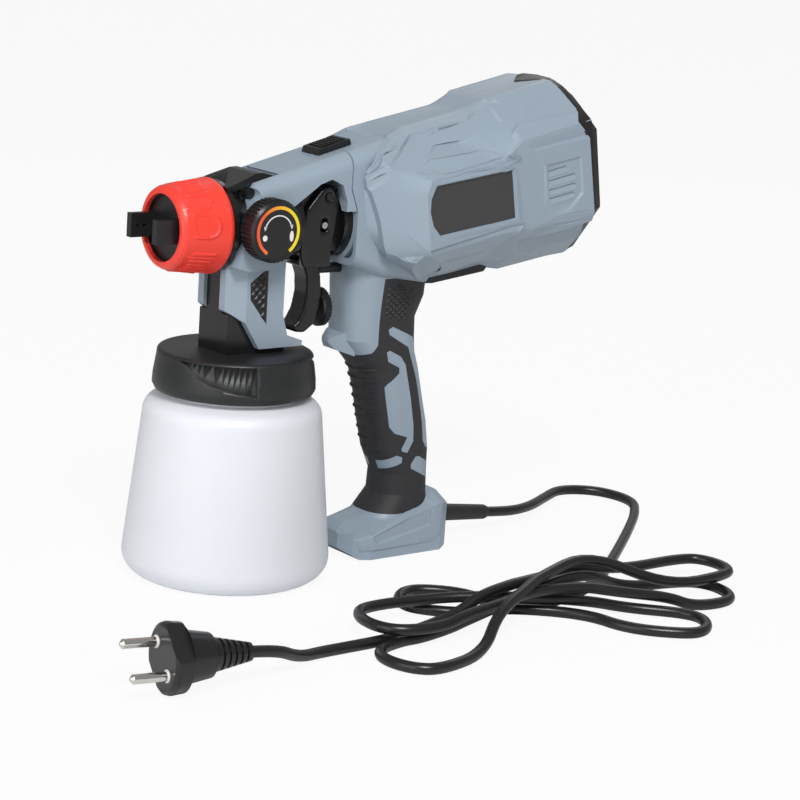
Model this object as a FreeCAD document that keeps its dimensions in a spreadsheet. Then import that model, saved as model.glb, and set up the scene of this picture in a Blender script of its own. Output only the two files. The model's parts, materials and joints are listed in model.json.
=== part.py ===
import FreeCAD, Part
import math
import os
import re
import Sketcher
from FreeCAD import Placement, Rotation, Vector

# Corded turbine spray gun with a screw-on paint container.
# Millimetres.  +Z is up, the container stands on z = 0 with its axis on the origin,
# the nozzle points to -X and the motor housing and the handle are on the +X side.

SIZES = [
    # container and its lid
    ("container_radius", 58.3),
    ("container_corner", 12.0),
    ("container_shoulder_radius", 48.4),
    ("container_shoulder_height", 95.5),
    ("container_neck_radius", 38.6),
    ("container_neck_base", 101.5),
    ("container_height", 118.0),
    ("container_wall", 1.6),
    ("lid_radius", 44.2),
    ("lid_top_radius", 42.3),
    ("lid_base_height", 103.3),
    ("lid_height", 125.2),
    ("lid_plate", 5.6),
    ("thread_clearance", 0.3),
    ("gasket_thickness", 1.4),
    ("tube_radius", 3.2),
    ("tube_bore_radius", 2.2),
    ("tube_foot_height", 8.0),
    ("tube_foot_reach", 24.0),
    # nozzle end
    ("axis_height", 193.5),
    ("barrel_radius", 21.5),
    ("barrel_front", -21.0),
    ("barrel_rear", 26.0),
    ("nose_radius", 19.0),
    ("nose_front", -33.0),
    ("flange_radius", 24.6),
    ("flange_width", 3.0),
    ("air_bore_radius", 16.0),
    ("sleeve_radius", 7.5),
    ("sleeve_rear", 20.0),
    ("nut_front", -51.3),
    ("nut_rear", -21.4),
    ("nut_front_radius", 22.4),
    ("nut_rear_radius", 25.6),
    ("nut_opening_radius", 17.9),
    ("nut_lip", 2.6),
    ("nut_bore_radius", 20.6),
    ("cap_radius", 17.4),
    ("cap_face", -47.5),
    ("cap_plate", 3.0),
    ("horn_front", -63.0),
    ("horn_inner", 10.4),
    ("horn_outer", 14.6),
    ("horn_half_height", 6.4),
    ("fluid_tip_front", -54.0),
    ("fluid_tip_radius", 3.0),
    ("fluid_base_radius", 9.5),
    ("needle_radius", 1.6),
    ("needle_rear", 55.0),
    ("dog_place", 42.0),
    ("dog_radius", 1.8),
    ("needle_travel", 3.2),
    # gun head
    ("block_front", 14.0),
    ("block_rear", 53.5),
    ("block_half_width", 13.5),
    ("block_base", 178.5),
    ("block_top", 212.5),
    ("block_bore_radius", 10.5),
    ("spigot_radius", 20.0),
    ("spigot_front", 53.5),
    ("spigot_rear", 70.0),
    ("seal_groove_place", 62.0),
    ("seal_groove_width", 2.4),
    ("seal_groove_depth", 2.0),
    ("strip_front", -15.5),
    ("strip_half_width", 7.5),
    ("column_front", -6.0),
    ("column_rear", 14.0),
    ("column_half_width", 13.5),
    ("neck_block_top", 147.0),
    ("cover_half_width", 23.5),
    ("cover_wall", 2.4),
    ("cover_top_at_zero", 219.1),
    ("cover_top_slope", 0.257),
    ("cladding_half_width", 18.0),
    ("cladding_front", -17.5),
    ("cladding_rear", 17.3),
    ("hood_half_width", 15.0),
    ("insert_depth", 1.4),
    # trigger group
    ("pivot_place", 44.0),
    ("pivot_height", 209.0),
    ("pivot_radius", 2.0),
    ("ear_inner", 14.1),
    ("ear_outer", 17.6),
    ("blade_half_width", 7.0),
    ("knob_place", 51.0),
    ("knob_height", 145.0),
    ("knob_radius", 10.3),
    ("knob_thickness", 5.5),
    ("plunger_height", 166.5),
    ("plunger_radius", 2.8),
    ("plunger_front", 49.7),
    ("knob_spindle_radius", 2.0),
    ("wheel_place", -2.0),
    ("wheel_height", 195.0),
    ("wheel_radius", 16.3),
    ("wheel_inner_face", 24.2),
    ("wheel_outer_face", 36.5),
    ("wheel_hub_radius", 4.5),
    # motor housing
    ("motor_place", 150.0),
    ("motor_height", 210.0),
    ("motor_tilt", 10.0),
    ("housing_wall", 2.6),
    ("housing_half_width", 46.0),
    ("housing_rear", 60.0),
    ("plate_thickness", 1.2),
    ("plate_proud", 0.3),
    ("stator_radius", 28.0),
    ("stator_bore_radius", 18.2),
    ("stator_front", -28.0),
    ("stator_rear", -4.0),
    ("armature_radius", 17.4),
    ("cover_room_inset", 4.6),
    ("shaft_radius", 3.9),
    ("bearing_bore_radius", 4.0),
    ("bearing_radius", 8.0),
    ("bearing_width", 6.0),
    ("rear_bearing_place", 4.0),
    ("commutator_radius", 9.5),
    ("casing_radius", 39.5),
    ("casing_wall", 1.8),
    ("casing_front", 8.0),
    ("casing_rear", 46.0),
    ("impeller_radius", 36.0),
    ("impeller_width", 10.0),
    ("first_impeller_place", 12.5),
    ("second_impeller_place", 29.5),
    ("vane_count", 9),
    ("duct_front_radius", 21.0),
    ("duct_wall", 1.8),
    ("facet_bend", 24.0),
    ("facet_reach", 50.0),
    ("facet_top_share", 1.25),
    ("facet_low_share", 1.4),
    # front of the body, handle and foot
    ("front_half_width", 24.0),
    ("grip_thickness", 2.2),
    ("foot_half_width", 21.0),
    ("foot_flat", 6.0),
    ("foot_slope", 0.45),
    ("foot_slope_reach", 32.0),
    ("foot_room_drop", 3.4),
    ("screw_radius", 1.5),
    ("screw_head_radius", 3.0),
    ("screw_head_height", 2.2),
    ("boss_radius", 4.6),
    # cord and plug
    ("cord_radius", 3.0),
    ("relief_place", 149.0),
    ("relief_height", 15.4),
    ("relief_length", 38.2),
    ("relief_drop", 6.3),
    ("relief_radius", 5.2),
    ("relief_tip_radius", 4.2),
    ("plug_flange_radius", 17.7),
    ("plug_flange_thickness", 9.0),
    ("plug_body_length", 26.0),
    ("plug_body_radius", 12.0),
    ("plug_length", 46.0),
    ("plug_tip_radius", 4.6),
    ("plug_turn", -8.0),
    ("plug_dip", 2.0),
    ("plug_roll", 41.0),
    ("plug_place", -136.7),
    ("plug_side", -151.2),
    ("pin_radius", 2.4),
    ("pin_length", 19.0),
    ("pin_shank_radius", 1.8),
    ("pin_pitch", 19.0),
    ("cord_clamp_height", 20.9),
    # fits
    ("slide_gap", 0.3),
    ("close_gap", 0.1),
    ("room_reach", 400.0),
]

doc = FreeCAD.newDocument("turbine_spray_gun")
sheet = doc.addObject("Spreadsheet::Sheet", "sizes")
for row, (alias, value) in enumerate(SIZES, start=1):
    sheet.set("A%d" % row, alias)
    sheet.set("B%d" % row, str(value))
    sheet.setAlias("B%d" % row, alias)
doc.recompute()

NAME = re.compile(r"[a-z]+(?:_[a-z]+)+")
FULL_TURN = 360.0


# Expressions and small helpers

def bound(text):
    """An expression in the sheet's own names."""
    return NAME.sub(lambda found: "sizes." + found.group(0), text)


def number(text):
    """The value of an expression in the sheet's own names."""
    if isinstance(text, (int, float)):
        return float(text)
    value = sheet.evalExpression(bound(text))
    return float(getattr(value, "Value", value))


def origin_plane(body, role):
    for feature in body.Origin.OriginFeatures:
        if feature.Role == role:
            return feature
    raise ValueError(role)


def new_body(label):
    body = doc.addObject("PartDesign::Body", label)
    body.Label = label
    return body


def new_sketch(body, role, name, offset="0"):
    sketch = body.newObject("Sketcher::SketchObject", name)
    sketch.AttachmentSupport = [(origin_plane(body, role), "")]
    sketch.MapMode = "FlatFace"
    if offset != "0":
        sketch.AttachmentOffset = Placement(Vector(0, 0, number(offset)), Rotation())
        sketch.setExpression("AttachmentOffset.Base.z", bound(offset))
    return sketch


def tie(sketch, kind, item, point, text):
    """Hold one coordinate of a sketch point at an expression, measured from the origin."""
    value = number(text)
    axis = {"DistanceX": -2, "DistanceY": -1}[kind]
    if text == "0":
        sketch.addConstraint(Sketcher.Constraint("PointOnObject", item, point, axis))
        return
    index = sketch.addConstraint(Sketcher.Constraint(kind, -1, 1, item, point, value))
    sketch.setExpression("Constraints[%d]" % index, bound(text))


def outline(sketch, corners):
    """A closed outline of straight lines through corners given as pairs of expressions."""
    places = [Vector(number(a), number(b), 0) for a, b in corners]
    count = len(places)
    first = sketch.GeometryCount
    for i in range(count):
        sketch.addGeometry(Part.LineSegment(places[i], places[(i + 1) % count]), False)
    for i in range(count):
        following = first + (i + 1) % count
        sketch.addConstraint(Sketcher.Constraint("Coincident", first + i, 2, following, 1))
    for i, (a, b) in enumerate(corners):
        tie(sketch, "DistanceX", first + i, 1, a)
        tie(sketch, "DistanceY", first + i, 1, b)
    return sketch


def rounded_outline(sketch, left, right, low, high, radius):
    """A rectangle with four equal rounded corners."""
    x0, x1, y0, y1, r = [number(v) for v in (left, right, low, high, radius)]
    runs = [((x0 + r, y0), (x1 - r, y0)), ((x1, y0 + r), (x1, y1 - r)),
            ((x1 - r, y1), (x0 + r, y1)), ((x0, y1 - r), (x0, y0 + r))]
    centres = [(x1 - r, y0 + r), (x1 - r, y1 - r), (x0 + r, y1 - r), (x0 + r, y0 + r)]
    for i in range(4):
        a, b = [Vector(p[0], p[1], 0) for p in runs[i]]
        sketch.addGeometry(Part.LineSegment(a, b), False)
        circle = Part.Circle(Vector(centres[i][0], centres[i][1], 0), Vector(0, 0, 1), r)
        start = math.radians(90 * i - 90)
        sketch.addGeometry(Part.ArcOfCircle(circle, start, start + math.pi / 2), False)
    for i in range(4):
        line, arc, following = 2 * i, 2 * i + 1, (2 * i + 2) % 8
        sketch.addConstraint(Sketcher.Constraint("Tangent", line, 2, arc, 1))
        sketch.addConstraint(Sketcher.Constraint("Tangent", arc, 2, following, 1))
        kind = "Vertical" if i % 2 else "Horizontal"
        sketch.addConstraint(Sketcher.Constraint(kind, line))
    for i in range(1, 4):
        sketch.addConstraint(Sketcher.Constraint("Equal", 1, 2 * i + 1))
    index = sketch.addConstraint(Sketcher.Constraint("Radius", 1, r))
    sketch.setExpression("Constraints[%d]" % index, bound(radius))
    tie(sketch, "DistanceY", 0, 1, low)
    tie(sketch, "DistanceX", 2, 1, right)
    tie(sketch, "DistanceY", 4, 1, high)
    tie(sketch, "DistanceX", 6, 1, left)
    return sketch


def turned(label, axis, corners, *more):
    """A body of revolution.  About X corners are (along, radius), about Z (radius, along)."""
    body = new_body(label)
    role = "XY_Plane" if axis == "Y" else "XZ_Plane"
    sketch = new_sketch(body, role, label + "_outline")
    for loop in (corners,) + more:
        outline(sketch, loop)
    spin = body.newObject("PartDesign::Revolution", label + "_turn")
    spin.Profile = sketch
    spin.ReferenceAxis = (sketch, ["H_Axis" if axis == "X" else "V_Axis"])
    spin.Angle = FULL_TURN
    doc.recompute()
    return body


def soften(body, spots, radius):
    """Round the circular edges of a body turned about Z that pass through (radius, height)."""
    wanted = []
    base = body.Tip
    for index, edge in enumerate(base.Shape.Edges, start=1):
        for across, height in spots:
            curve = edge.Curve
            if not isinstance(curve, Part.Circle):
                continue
            near_height = abs(curve.Center.z - number(height)) < 0.01
            if near_height and abs(curve.Radius - number(across)) < 0.01:
                wanted.append("Edge%d" % index)
    fillet = body.newObject("PartDesign::Fillet", body.Label + "_round_%d" % len(body.Group))
    fillet.Base = (base, wanted)
    fillet.setExpression("Radius", bound(radius))
    body.Tip = fillet
    doc.recompute()


def prism(label, corners, low, high, role="XZ_Plane"):
    """A straight-sided body whose outline lies in a main plane, between two distances from it."""
    body = new_body(label)
    sketch = outline(new_sketch(body, role, label + "_outline"), corners)
    pad = body.newObject("PartDesign::Pad", label + "_pad")
    pad.Profile = sketch
    pad.Length = number("(%s) - (%s)" % (high, low))
    pad.setExpression("Length", bound("(%s) - (%s)" % (high, low)))
    pad.Midplane = True
    move = {"XZ_Plane": "y", "XY_Plane": "z", "YZ_Plane": "x"}[role]
    body.setExpression("Placement.Base." + move, bound("((%s) + (%s)) / 2" % (low, high)))
    doc.recompute()
    return body


def lofted(label, role, sections, ruled=True):
    """A loft through rounded rectangles: (station, left, right, low, high, corner radius)."""
    body = new_body(label)
    sketches = []
    for i, (station, left, right, low, high, radius) in enumerate(sections):
        sketch = new_sketch(body, role, "%s_section_%d" % (label, i), station)
        sketches.append(rounded_outline(sketch, left, right, low, high, radius))
    doc.recompute()
    loft = body.newObject("PartDesign::AdditiveLoft", label + "_loft")
    loft.Profile = sketches[0]
    loft.Sections = sketches[1:]
    loft.Ruled = ruled
    doc.recompute()
    return body


def place(item, x="0", y="0", z="0", axis=None, angle="0"):
    """Put an object at expressions, turned about an axis by an expression in degrees."""
    turn = Rotation(axis, number(angle)) if axis else Rotation()
    item.Placement = Placement(Vector(number(x), number(y), number(z)), turn)
    for letter, text in zip("xyz", (x, y, z)):
        if text != "0":
            item.setExpression("Placement.Base." + letter, bound(text))
    if axis:
        item.setExpression("Placement.Rotation.Angle", bound("(%s) * 1 deg" % angle))
    doc.recompute()
    return item


def on_nozzle_axis(item):
    return place(item, z="axis_height")


def on_motor_axis(item, up="0"):
    """Move an object drawn along X onto the inclined motor axis."""
    x = "motor_place - (%s) * sin(motor_tilt * 1 deg)" % up
    z = "motor_height + (%s) * cos(motor_tilt * 1 deg)" % up
    return place(item, x=x, z=z, axis=Vector(0, 1, 0), angle="-motor_tilt")


def cylinder_along(label, axis, radius, start, length, across="0", height="0"):
    """A plain cylinder along X, Y or Z whose start, side place and height are expressions."""
    item = doc.addObject("Part::Cylinder", label)
    item.Label = label
    item.setExpression("Radius", bound(radius))
    item.setExpression("Height", bound(length))
    turn_axis, turn_angle = {"X": (Vector(0, 1, 0), "90"), "Y": (Vector(-1, 0, 0), "90"),
                             "Z": (None, "0")}[axis]
    spots = {"X": (start, across, height), "Y": (across, start, height),
             "Z": (across, height, start)}[axis]
    return place(item, *spots, axis=turn_axis, angle=turn_angle)


def block(label, x0, x1, y0, y1, z0, z1):
    """A plain box between six expressions."""
    item = doc.addObject("Part::Box", label)
    item.Label = label
    for side, low, high in (("Length", x0, x1), ("Width", y0, y1), ("Height", z0, z1)):
        item.setExpression(side, bound("(%s) - (%s)" % (high, low)))
    return place(item, x=x0, y=y0, z=z0)


def joined(label, items):
    item = doc.addObject("Part::MultiFuse", label)
    item.Label = label
    item.Shapes = items
    item.Refine = True
    doc.recompute()
    return item


def without(label, base, tool):
    item = doc.addObject("Part::Cut", label)
    item.Label = label
    item.Base = base
    item.Tool = tool
    item.Refine = True
    doc.recompute()
    return item


def shared(label, base, tool):
    item = doc.addObject("Part::Common", label)
    item.Label = label
    item.Base = base
    item.Tool = tool
    item.Refine = True
    doc.recompute()
    return item


def fixed_shape(label, shape):
    item = doc.addObject("Part::Feature", label)
    item.Label = label
    item.Shape = shape
    return item


NODES = []


def keep(item):
    """Note an object as a finished piece; its label names its file."""
    NODES.append(item)
    return item


# Container, lid, gasket and suction tube

def build_container():
    wall = "container_wall"
    container = turned("container", "Z", [
        ("0", "0"),
        ("container_radius", "0"),
        ("container_shoulder_radius", "container_shoulder_height"),
        ("container_neck_radius", "container_neck_base"),
        ("container_neck_radius", "container_height"),
        ("container_neck_radius - container_wall", "container_height"),
        ("container_neck_radius - container_wall", "container_neck_base - 1"),
        ("container_shoulder_radius - container_wall - 0.3", "container_shoulder_height - 1.4"),
        ("container_radius - container_wall", wall),
        ("0", wall)])
    soften(container, [("container_radius", "0")], "container_corner")
    soften(container, [("container_radius - container_wall", wall)],
           "container_corner - container_wall")
    soften(container, [("container_shoulder_radius", "container_shoulder_height")], "9")
    soften(container, [("container_shoulder_radius - container_wall - 0.3",
                        "container_shoulder_height - 1.4")], "7.5")
    keep(container)


def build_lid():
    thread = "container_neck_radius + thread_clearance"
    seat = "lid_height - lid_plate"
    lid = turned("container_lid", "Z", [
        ("tube_radius", seat),
        (thread, seat),
        (thread, "lid_base_height"),
        ("lid_radius - 1", "lid_base_height"),
        ("lid_radius + 0.3", "lid_base_height + 2.5"),
        ("lid_radius", "lid_base_height + 8"),
        ("lid_top_radius + 0.4", "lid_height - 4"),
        ("lid_top_radius", "lid_height"),
        ("tube_radius", "lid_height")])
    soften(lid, [("lid_top_radius", "lid_height")], "2.2")
    keep(lid)
    top = "lid_height - lid_plate"
    keep(turned("lid_gasket", "Z", [
        ("container_neck_radius - 5", "(%s) - gasket_thickness" % top),
        ("container_neck_radius", "(%s) - gasket_thickness" % top),
        ("container_neck_radius", top),
        ("container_neck_radius - 5", top)]))


def tube_shape(points, radii, radius, bore=0.0):
    """A round tube along straight runs joined by tangent arcs."""
    edges = []
    at = points[0]
    for i in range(1, len(points) - 1):
        before = (points[i] - points[i - 1]).normalize()
        after = (points[i + 1] - points[i]).normalize()
        half = before.getAngle(after) / 2
        reach = radii[i - 1] * math.tan(half)
        start = points[i] - before * reach
        end = points[i] + after * reach
        inward = (after - before).normalize()
        middle = points[i] + inward * radii[i - 1] * (1 / math.cos(half) - 1)
        edges.append(Part.LineSegment(at, start).toShape())
        edges.append(Part.Arc(start, middle, end).toShape())
        at = end
    edges.append(Part.LineSegment(at, points[-1]).toShape())
    path = Part.Wire(edges)
    heading = (points[1] - points[0]).normalize()
    solid = None
    for size in (radius, bore):
        if size <= 0:
            continue
        ring = Part.Wire([Part.makeCircle(size, points[0], heading)])
        shell = path.makePipeShell([ring], True, False)
        solid = shell if solid is None else solid.cut(shell)
    return solid, path.Length


def route_radii(points, share=0.45):
    """The arc radius at each inner point: a share of the shorter run over tan(half turn)."""
    radii = []
    for i in range(1, len(points) - 1):
        before = points[i] - points[i - 1]
        after = points[i + 1] - points[i]
        half = before.getAngle(after) / 2
        radii.append(share * min(before.Length, after.Length) / math.tan(half))
    return radii


def build_suction_tube():
    reach = number("tube_foot_reach")
    points = [
        Vector(0, 0, number("lid_height + 7")),
        Vector(0, 0, number("container_height * 0.5")),
        Vector(-reach, 0, number("tube_foot_height"))]
    shape, length = tube_shape(points, route_radii(points), number("tube_radius"),
                               number("tube_bore_radius"))
    keep(fixed_shape("suction_tube", shape))


# Gun head: barrel, block, spigot and neck in one black moulding

def cross_hole(label, radius, place_along, height, reach="barrel_front * -3"):
    """A hole along Y through the whole width, as a tool."""
    return cylinder_along(label, "Y", radius, "-(%s)" % reach, "2 * (%s)" % reach,
                          across=place_along, height=height)


def build_head_core():
    barrel = on_nozzle_axis(turned("barrel", "X", [
        ("nose_front", "0"), ("nose_front", "nose_radius"),
        ("barrel_front", "nose_radius"), ("barrel_front", "flange_radius"),
        ("barrel_front + flange_width", "flange_radius"),
        ("barrel_front + flange_width", "barrel_radius"),
        ("barrel_rear", "barrel_radius"), ("barrel_rear", "0")]))
    groove_end = "seal_groove_place + seal_groove_width"
    groove_floor = "spigot_radius - seal_groove_depth"
    spigot = on_nozzle_axis(turned("spigot", "X", [
        ("spigot_front", "0"), ("spigot_front", "spigot_radius"),
        ("seal_groove_place", "spigot_radius"), ("seal_groove_place", groove_floor),
        (groove_end, groove_floor), (groove_end, "spigot_radius"),
        ("spigot_rear", "spigot_radius"), ("spigot_rear", "0")]))
    core_block = block("head_block", "block_front", "block_rear", "-block_half_width",
                       "block_half_width", "block_base", "block_top")
    neck_top = "axis_height - barrel_radius + 4"
    column = block("neck_column", "column_front", "column_rear", "-column_half_width",
                   "column_half_width", "lid_height", neck_top)
    strip = block("neck_strip", "strip_front", "column_front + 1", "-strip_half_width",
                  "strip_half_width", "lid_height", neck_top)
    base = block("neck_base", "strip_front", "column_rear + 8", "-column_half_width",
                 "column_half_width", "lid_height", "lid_height + 6")
    front_block = block("neck_block", "strip_front", "column_front + 1", "-column_half_width",
                        "column_half_width", "lid_height", "neck_block_top")
    mass = joined("head_mass", [barrel, spigot, core_block, column, strip, base, front_block])

    bores = joined("air_bores", [
        cylinder_along("air_bore_front", "X", "air_bore_radius", "nose_front - 1",
                       "block_front - nose_front + 4", height="axis_height"),
        cylinder_along("air_bore_block", "X", "block_bore_radius", "block_front",
                       "spigot_front - block_front + 2", height="axis_height"),
        cylinder_along("air_bore_rear", "X", "air_bore_radius", "spigot_front + 1.5",
                       "spigot_rear - spigot_front", height="axis_height")])
    hollow = without("head_hollow", mass, bores)

    sleeve = cylinder_along("fluid_sleeve", "X", "sleeve_radius", "nose_front + 3",
                            "sleeve_rear - nose_front - 3", height="axis_height")
    web = block("fluid_web", "column_front", "column_front + 14", "-4", "4",
                "axis_height - barrel_radius + 2", "axis_height")
    seat_disc = cylinder_along("spring_seat", "X", "air_bore_radius + 1.6", "spigot_front + 5",
                               "2", height="axis_height")
    vents = joined("seat_vents", [
        block("seat_vent_low", "spigot_front + 3", "spigot_front + 9", "-10", "10",
              "axis_height - 12", "axis_height - 5"),
        block("seat_vent_high", "spigot_front + 3", "spigot_front + 9", "-10", "10",
              "axis_height + 5", "axis_height + 12")])
    seat = without("spring_seat_open", seat_disc, vents)
    filled = joined("head_filled", [hollow, sleeve, web, seat])

    slot_reach = "dog_radius + 0.6"
    openings = joined("head_openings", [
        cylinder_along("needle_way", "X", "needle_radius + slide_gap", "nose_front - 5",
                       "needle_rear - nose_front + 20", height="axis_height"),
        cylinder_along("fluid_room", "X", "tube_bore_radius + 1.6", "nose_front + 2",
                       "12 - nose_front", height="axis_height"),
        cylinder_along("packing_room", "X", "4.5", "sleeve_rear - 6", "7",
                       height="axis_height"),
        cylinder_along("fluid_riser", "Z", "tube_bore_radius", "lid_height - 1",
                       "axis_height - lid_height"),
        cylinder_along("tube_socket", "Z", "tube_radius", "lid_height - 1", "8"),
        cross_hole("pivot_hole", "pivot_radius", "pivot_place", "pivot_height"),
        block("dog_slot", "dog_place - (%s)" % slot_reach,
              "dog_place + needle_travel + %s" % slot_reach, "-block_half_width - 1",
              "block_half_width + 1", "axis_height - (%s)" % slot_reach,
              "axis_height + %s" % slot_reach),
        cylinder_along("hub_hole", "Y", "wheel_hub_radius + slide_gap", "-wheel_outer_face",
                       "20", across="wheel_place", height="wheel_height")]
        + hood_screw_holes("core_screw_hole"))
    keep(without("head_core", filled, openings))
    keep(on_nozzle_axis(turned("spigot_seal", "X", [
        ("seal_groove_place + 0.1", groove_floor), (groove_end + " - 0.1", groove_floor),
        (groove_end + " - 0.1", "spigot_radius + 0.1"),
        ("seal_groove_place + 0.1", "spigot_radius + 0.1")])))


def build_nozzle_group():
    start = "nose_front - 0.1"
    nozzle = turned("fluid_nozzle", "X", [
        ("fluid_tip_front", "1.1"), ("fluid_tip_front", "fluid_tip_radius"),
        ("fluid_tip_front + 10", "fluid_tip_radius + 0.4"),
        ("nose_front - 7", "fluid_base_radius - 2"),
        ("nose_front - 5", "fluid_base_radius"),
        ("nose_front + 3", "fluid_base_radius"),
        ("nose_front + 3", "needle_radius + 0.9"),
        ("fluid_tip_front + 7", "needle_radius + 0.9")])
    keep(on_nozzle_axis(nozzle))

    baffle = turned("air_baffle", "X", [
        ("nose_front - 2.5", "fluid_base_radius + 0.1"),
        ("nose_front - 2.5", "nose_radius"),
        (start, "nose_radius"),
        (start, "fluid_base_radius + 0.1")])
    hole = new_sketch(baffle, "YZ_Plane", "baffle_hole", "nose_front - 4")
    hole.addGeometry(Part.Circle(Vector(14, 0, 0), Vector(0, 0, 1), 1.6), False)
    hole.addConstraint(Sketcher.Constraint("PointOnObject", 0, 3, -1))
    tie(hole, "DistanceX", 0, 3, "(fluid_base_radius + nose_radius) / 2")
    hole.addConstraint(Sketcher.Constraint("Radius", 0, 1.6))
    drill = baffle.newObject("PartDesign::Pocket", "baffle_drill")
    drill.Profile = hole
    drill.Length = 10
    drill.Reversed = True
    doc.recompute()
    ring = baffle.newObject("PartDesign::PolarPattern", "baffle_ring")
    ring.Originals = [drill]
    ring.Axis = (hole, ["N_Axis"])
    ring.Angle = FULL_TURN
    ring.Occurrences = 10
    baffle.Tip = ring
    keep(on_nozzle_axis(baffle))

    keep(on_nozzle_axis(turned("union_nut", "X", [
        ("nut_front", "nut_opening_radius"), ("nut_front", "nut_front_radius - 2.4"),
        ("nut_front + 1", "nut_front_radius - 1"),
        ("nut_front + 3", "nut_front_radius"),
        ("nut_rear - 4", "nut_rear_radius - 0.2"), ("nut_rear - 1.5", "nut_rear_radius"),
        ("nut_rear", "nut_rear_radius - 1"),
        ("nut_rear", "nose_radius + slide_gap"),
        ("nose_front + 1", "nose_radius + slide_gap"),
        ("nose_front - 1", "nut_bore_radius"),
        ("nut_front + nut_lip", "nut_bore_radius"),
        ("nut_front + nut_lip", "nut_opening_radius")])))

    cap_disc = on_nozzle_axis(turned("cap_disc", "X", [
        ("cap_face", "fluid_tip_radius + 1.6"), ("cap_face", "cap_radius"),
        ("nut_front + nut_lip + slide_gap", "cap_radius"),
        ("nut_front + nut_lip + slide_gap", "nut_bore_radius - slide_gap"),
        ("nose_front - 2.6", "nut_bore_radius - slide_gap"),
        ("nose_front - 2.6", "cap_radius"), ("cap_face + cap_plate", "cap_radius - 0.4"),
        ("cap_face + cap_plate", "fluid_tip_radius + 1.6")]))
    cap_parts = [cap_disc]
    for side, name in ((-1, "near"), (1, "far")):
        low, high = ("horn_inner", "horn_outer") if side > 0 else ("-horn_outer", "-horn_inner")
        cap_parts.append(block("horn_" + name, "horn_front", "cap_face + 1", low, high,
                               "axis_height - horn_half_height", "axis_height + horn_half_height"))
    cap = joined("cap_mass", cap_parts)
    drills = []
    for side, name in ((-1, "near"), (1, "far")):
        middle = "(horn_inner + horn_outer) / 2" if side > 0 else "-(horn_inner + horn_outer) / 2"
        drills.append(cylinder_along("horn_feed_" + name, "X", "1.3", "horn_front + 3", "16",
                                     across=middle, height="axis_height"))
        inner = "horn_inner - 1" if side > 0 else "-horn_inner - 2"
        for spot in (4, 8):
            drills.append(cylinder_along("horn_jet_%s_%d" % (name, spot), "Y", "0.8", inner,
                                         "3", across="horn_front + %d" % spot,
                                         height="axis_height"))
    keep(without("air_cap", cap, joined("cap_drills", drills)))


def build_needle_group():
    rod = on_nozzle_axis(turned("needle_rod", "X", [
        ("fluid_tip_front + 0.5", "0"), ("fluid_tip_front + 6", "needle_radius - 0.3"),
        ("fluid_tip_front + 8", "needle_radius"), ("needle_rear", "needle_radius"),
        ("needle_rear", "0")]))
    collar = on_nozzle_axis(turned("needle_collar", "X", [
        ("dog_place - 2.6", "0"), ("dog_place - 2.6", "4.2"), ("dog_place + 3", "4.2"),
        ("dog_place + 3", "0")]))
    dog = cylinder_along("needle_dog", "Y", "dog_radius", "-ear_outer", "2 * ear_outer",
                         across="dog_place", height="axis_height")
    keep(joined("needle", [rod, collar, dog]))

    keep(on_nozzle_axis(turned("packing_nut", "X", [
        ("sleeve_rear - 5.5", "needle_radius + slide_gap"), ("sleeve_rear - 5.5", "4.4"),
        ("sleeve_rear + 0.1", "4.4"), ("sleeve_rear + 0.1", "6.5"),
        ("sleeve_rear + 5", "6.5"), ("sleeve_rear + 5", "needle_radius + slide_gap")])))
    first = number("dog_place + 3")
    last = number("spigot_front + 5")
    keep(fixed_shape("needle_spring", coil_shape(first, last, 3.4, 0.45, 6, "axis_height")))


def coil_shape(start, end, radius, wire, turns, height):
    """A compression spring along X: quarter-turn biarcs, so it is one unbroken wire."""
    level = number(height)
    count = turns * 4
    low = start + wire + 0.1
    pitch = (end - start - 2 * wire - 0.2) / count
    nodes = []
    for i in range(count + 1):
        angle = i * math.pi / 2
        spot = Vector(low + pitch * i, radius * math.cos(angle), level + radius * math.sin(angle))
        heading = Vector(pitch / (math.pi / 2), -radius * math.sin(angle), radius * math.cos(angle))
        nodes.append((spot, heading.normalize()))
    return biarc_tube(nodes, wire)[0]


def biarc_edges(nodes):
    """Arcs through (point, direction) pairs, two to a pair, each tangent to the next."""
    edges = []
    for (a, ta), (b, tb) in zip(nodes, nodes[1:]):
        chord = b - a
        both = ta + tb
        bend = 2 * (1 - ta.dot(tb))
        middle = chord.dot(both)
        if bend < 1e-9:
            reach = chord.Length / 2
        else:
            reach = (-middle + math.sqrt(middle * middle + bend * chord.dot(chord))) / bend
        p = a + ta * reach
        q = b - tb * reach
        joint = (p + q) * 0.5
        for start, heading, end in ((a, ta, joint), (joint, (q - p).normalize(), b)):
            across = end - start
            if across.cross(heading).Length < 1e-6 * across.Length:
                edges.append(Part.LineSegment(start, end).toShape())
                continue
            side = across.dot(heading)
            centre_way = (across - heading * side).normalize()
            radius = across.dot(across) / (2 * across.dot(centre_way))
            centre = start + centre_way * radius
            out = ((start + end) * 0.5 - centre).normalize()
            if side < 0:
                out = out * -1
            edges.append(Part.Arc(start, centre + out * radius, end).toShape())
    return edges


def biarc_tube(nodes, radius):
    """A round wire swept along biarcs, its path length and its path."""
    path = Part.Wire(biarc_edges(nodes))
    ring = Part.Wire([Part.makeCircle(radius, nodes[0][0], nodes[0][1])])
    return path.makePipeShell([ring], True, False), path.Length, path


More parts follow.
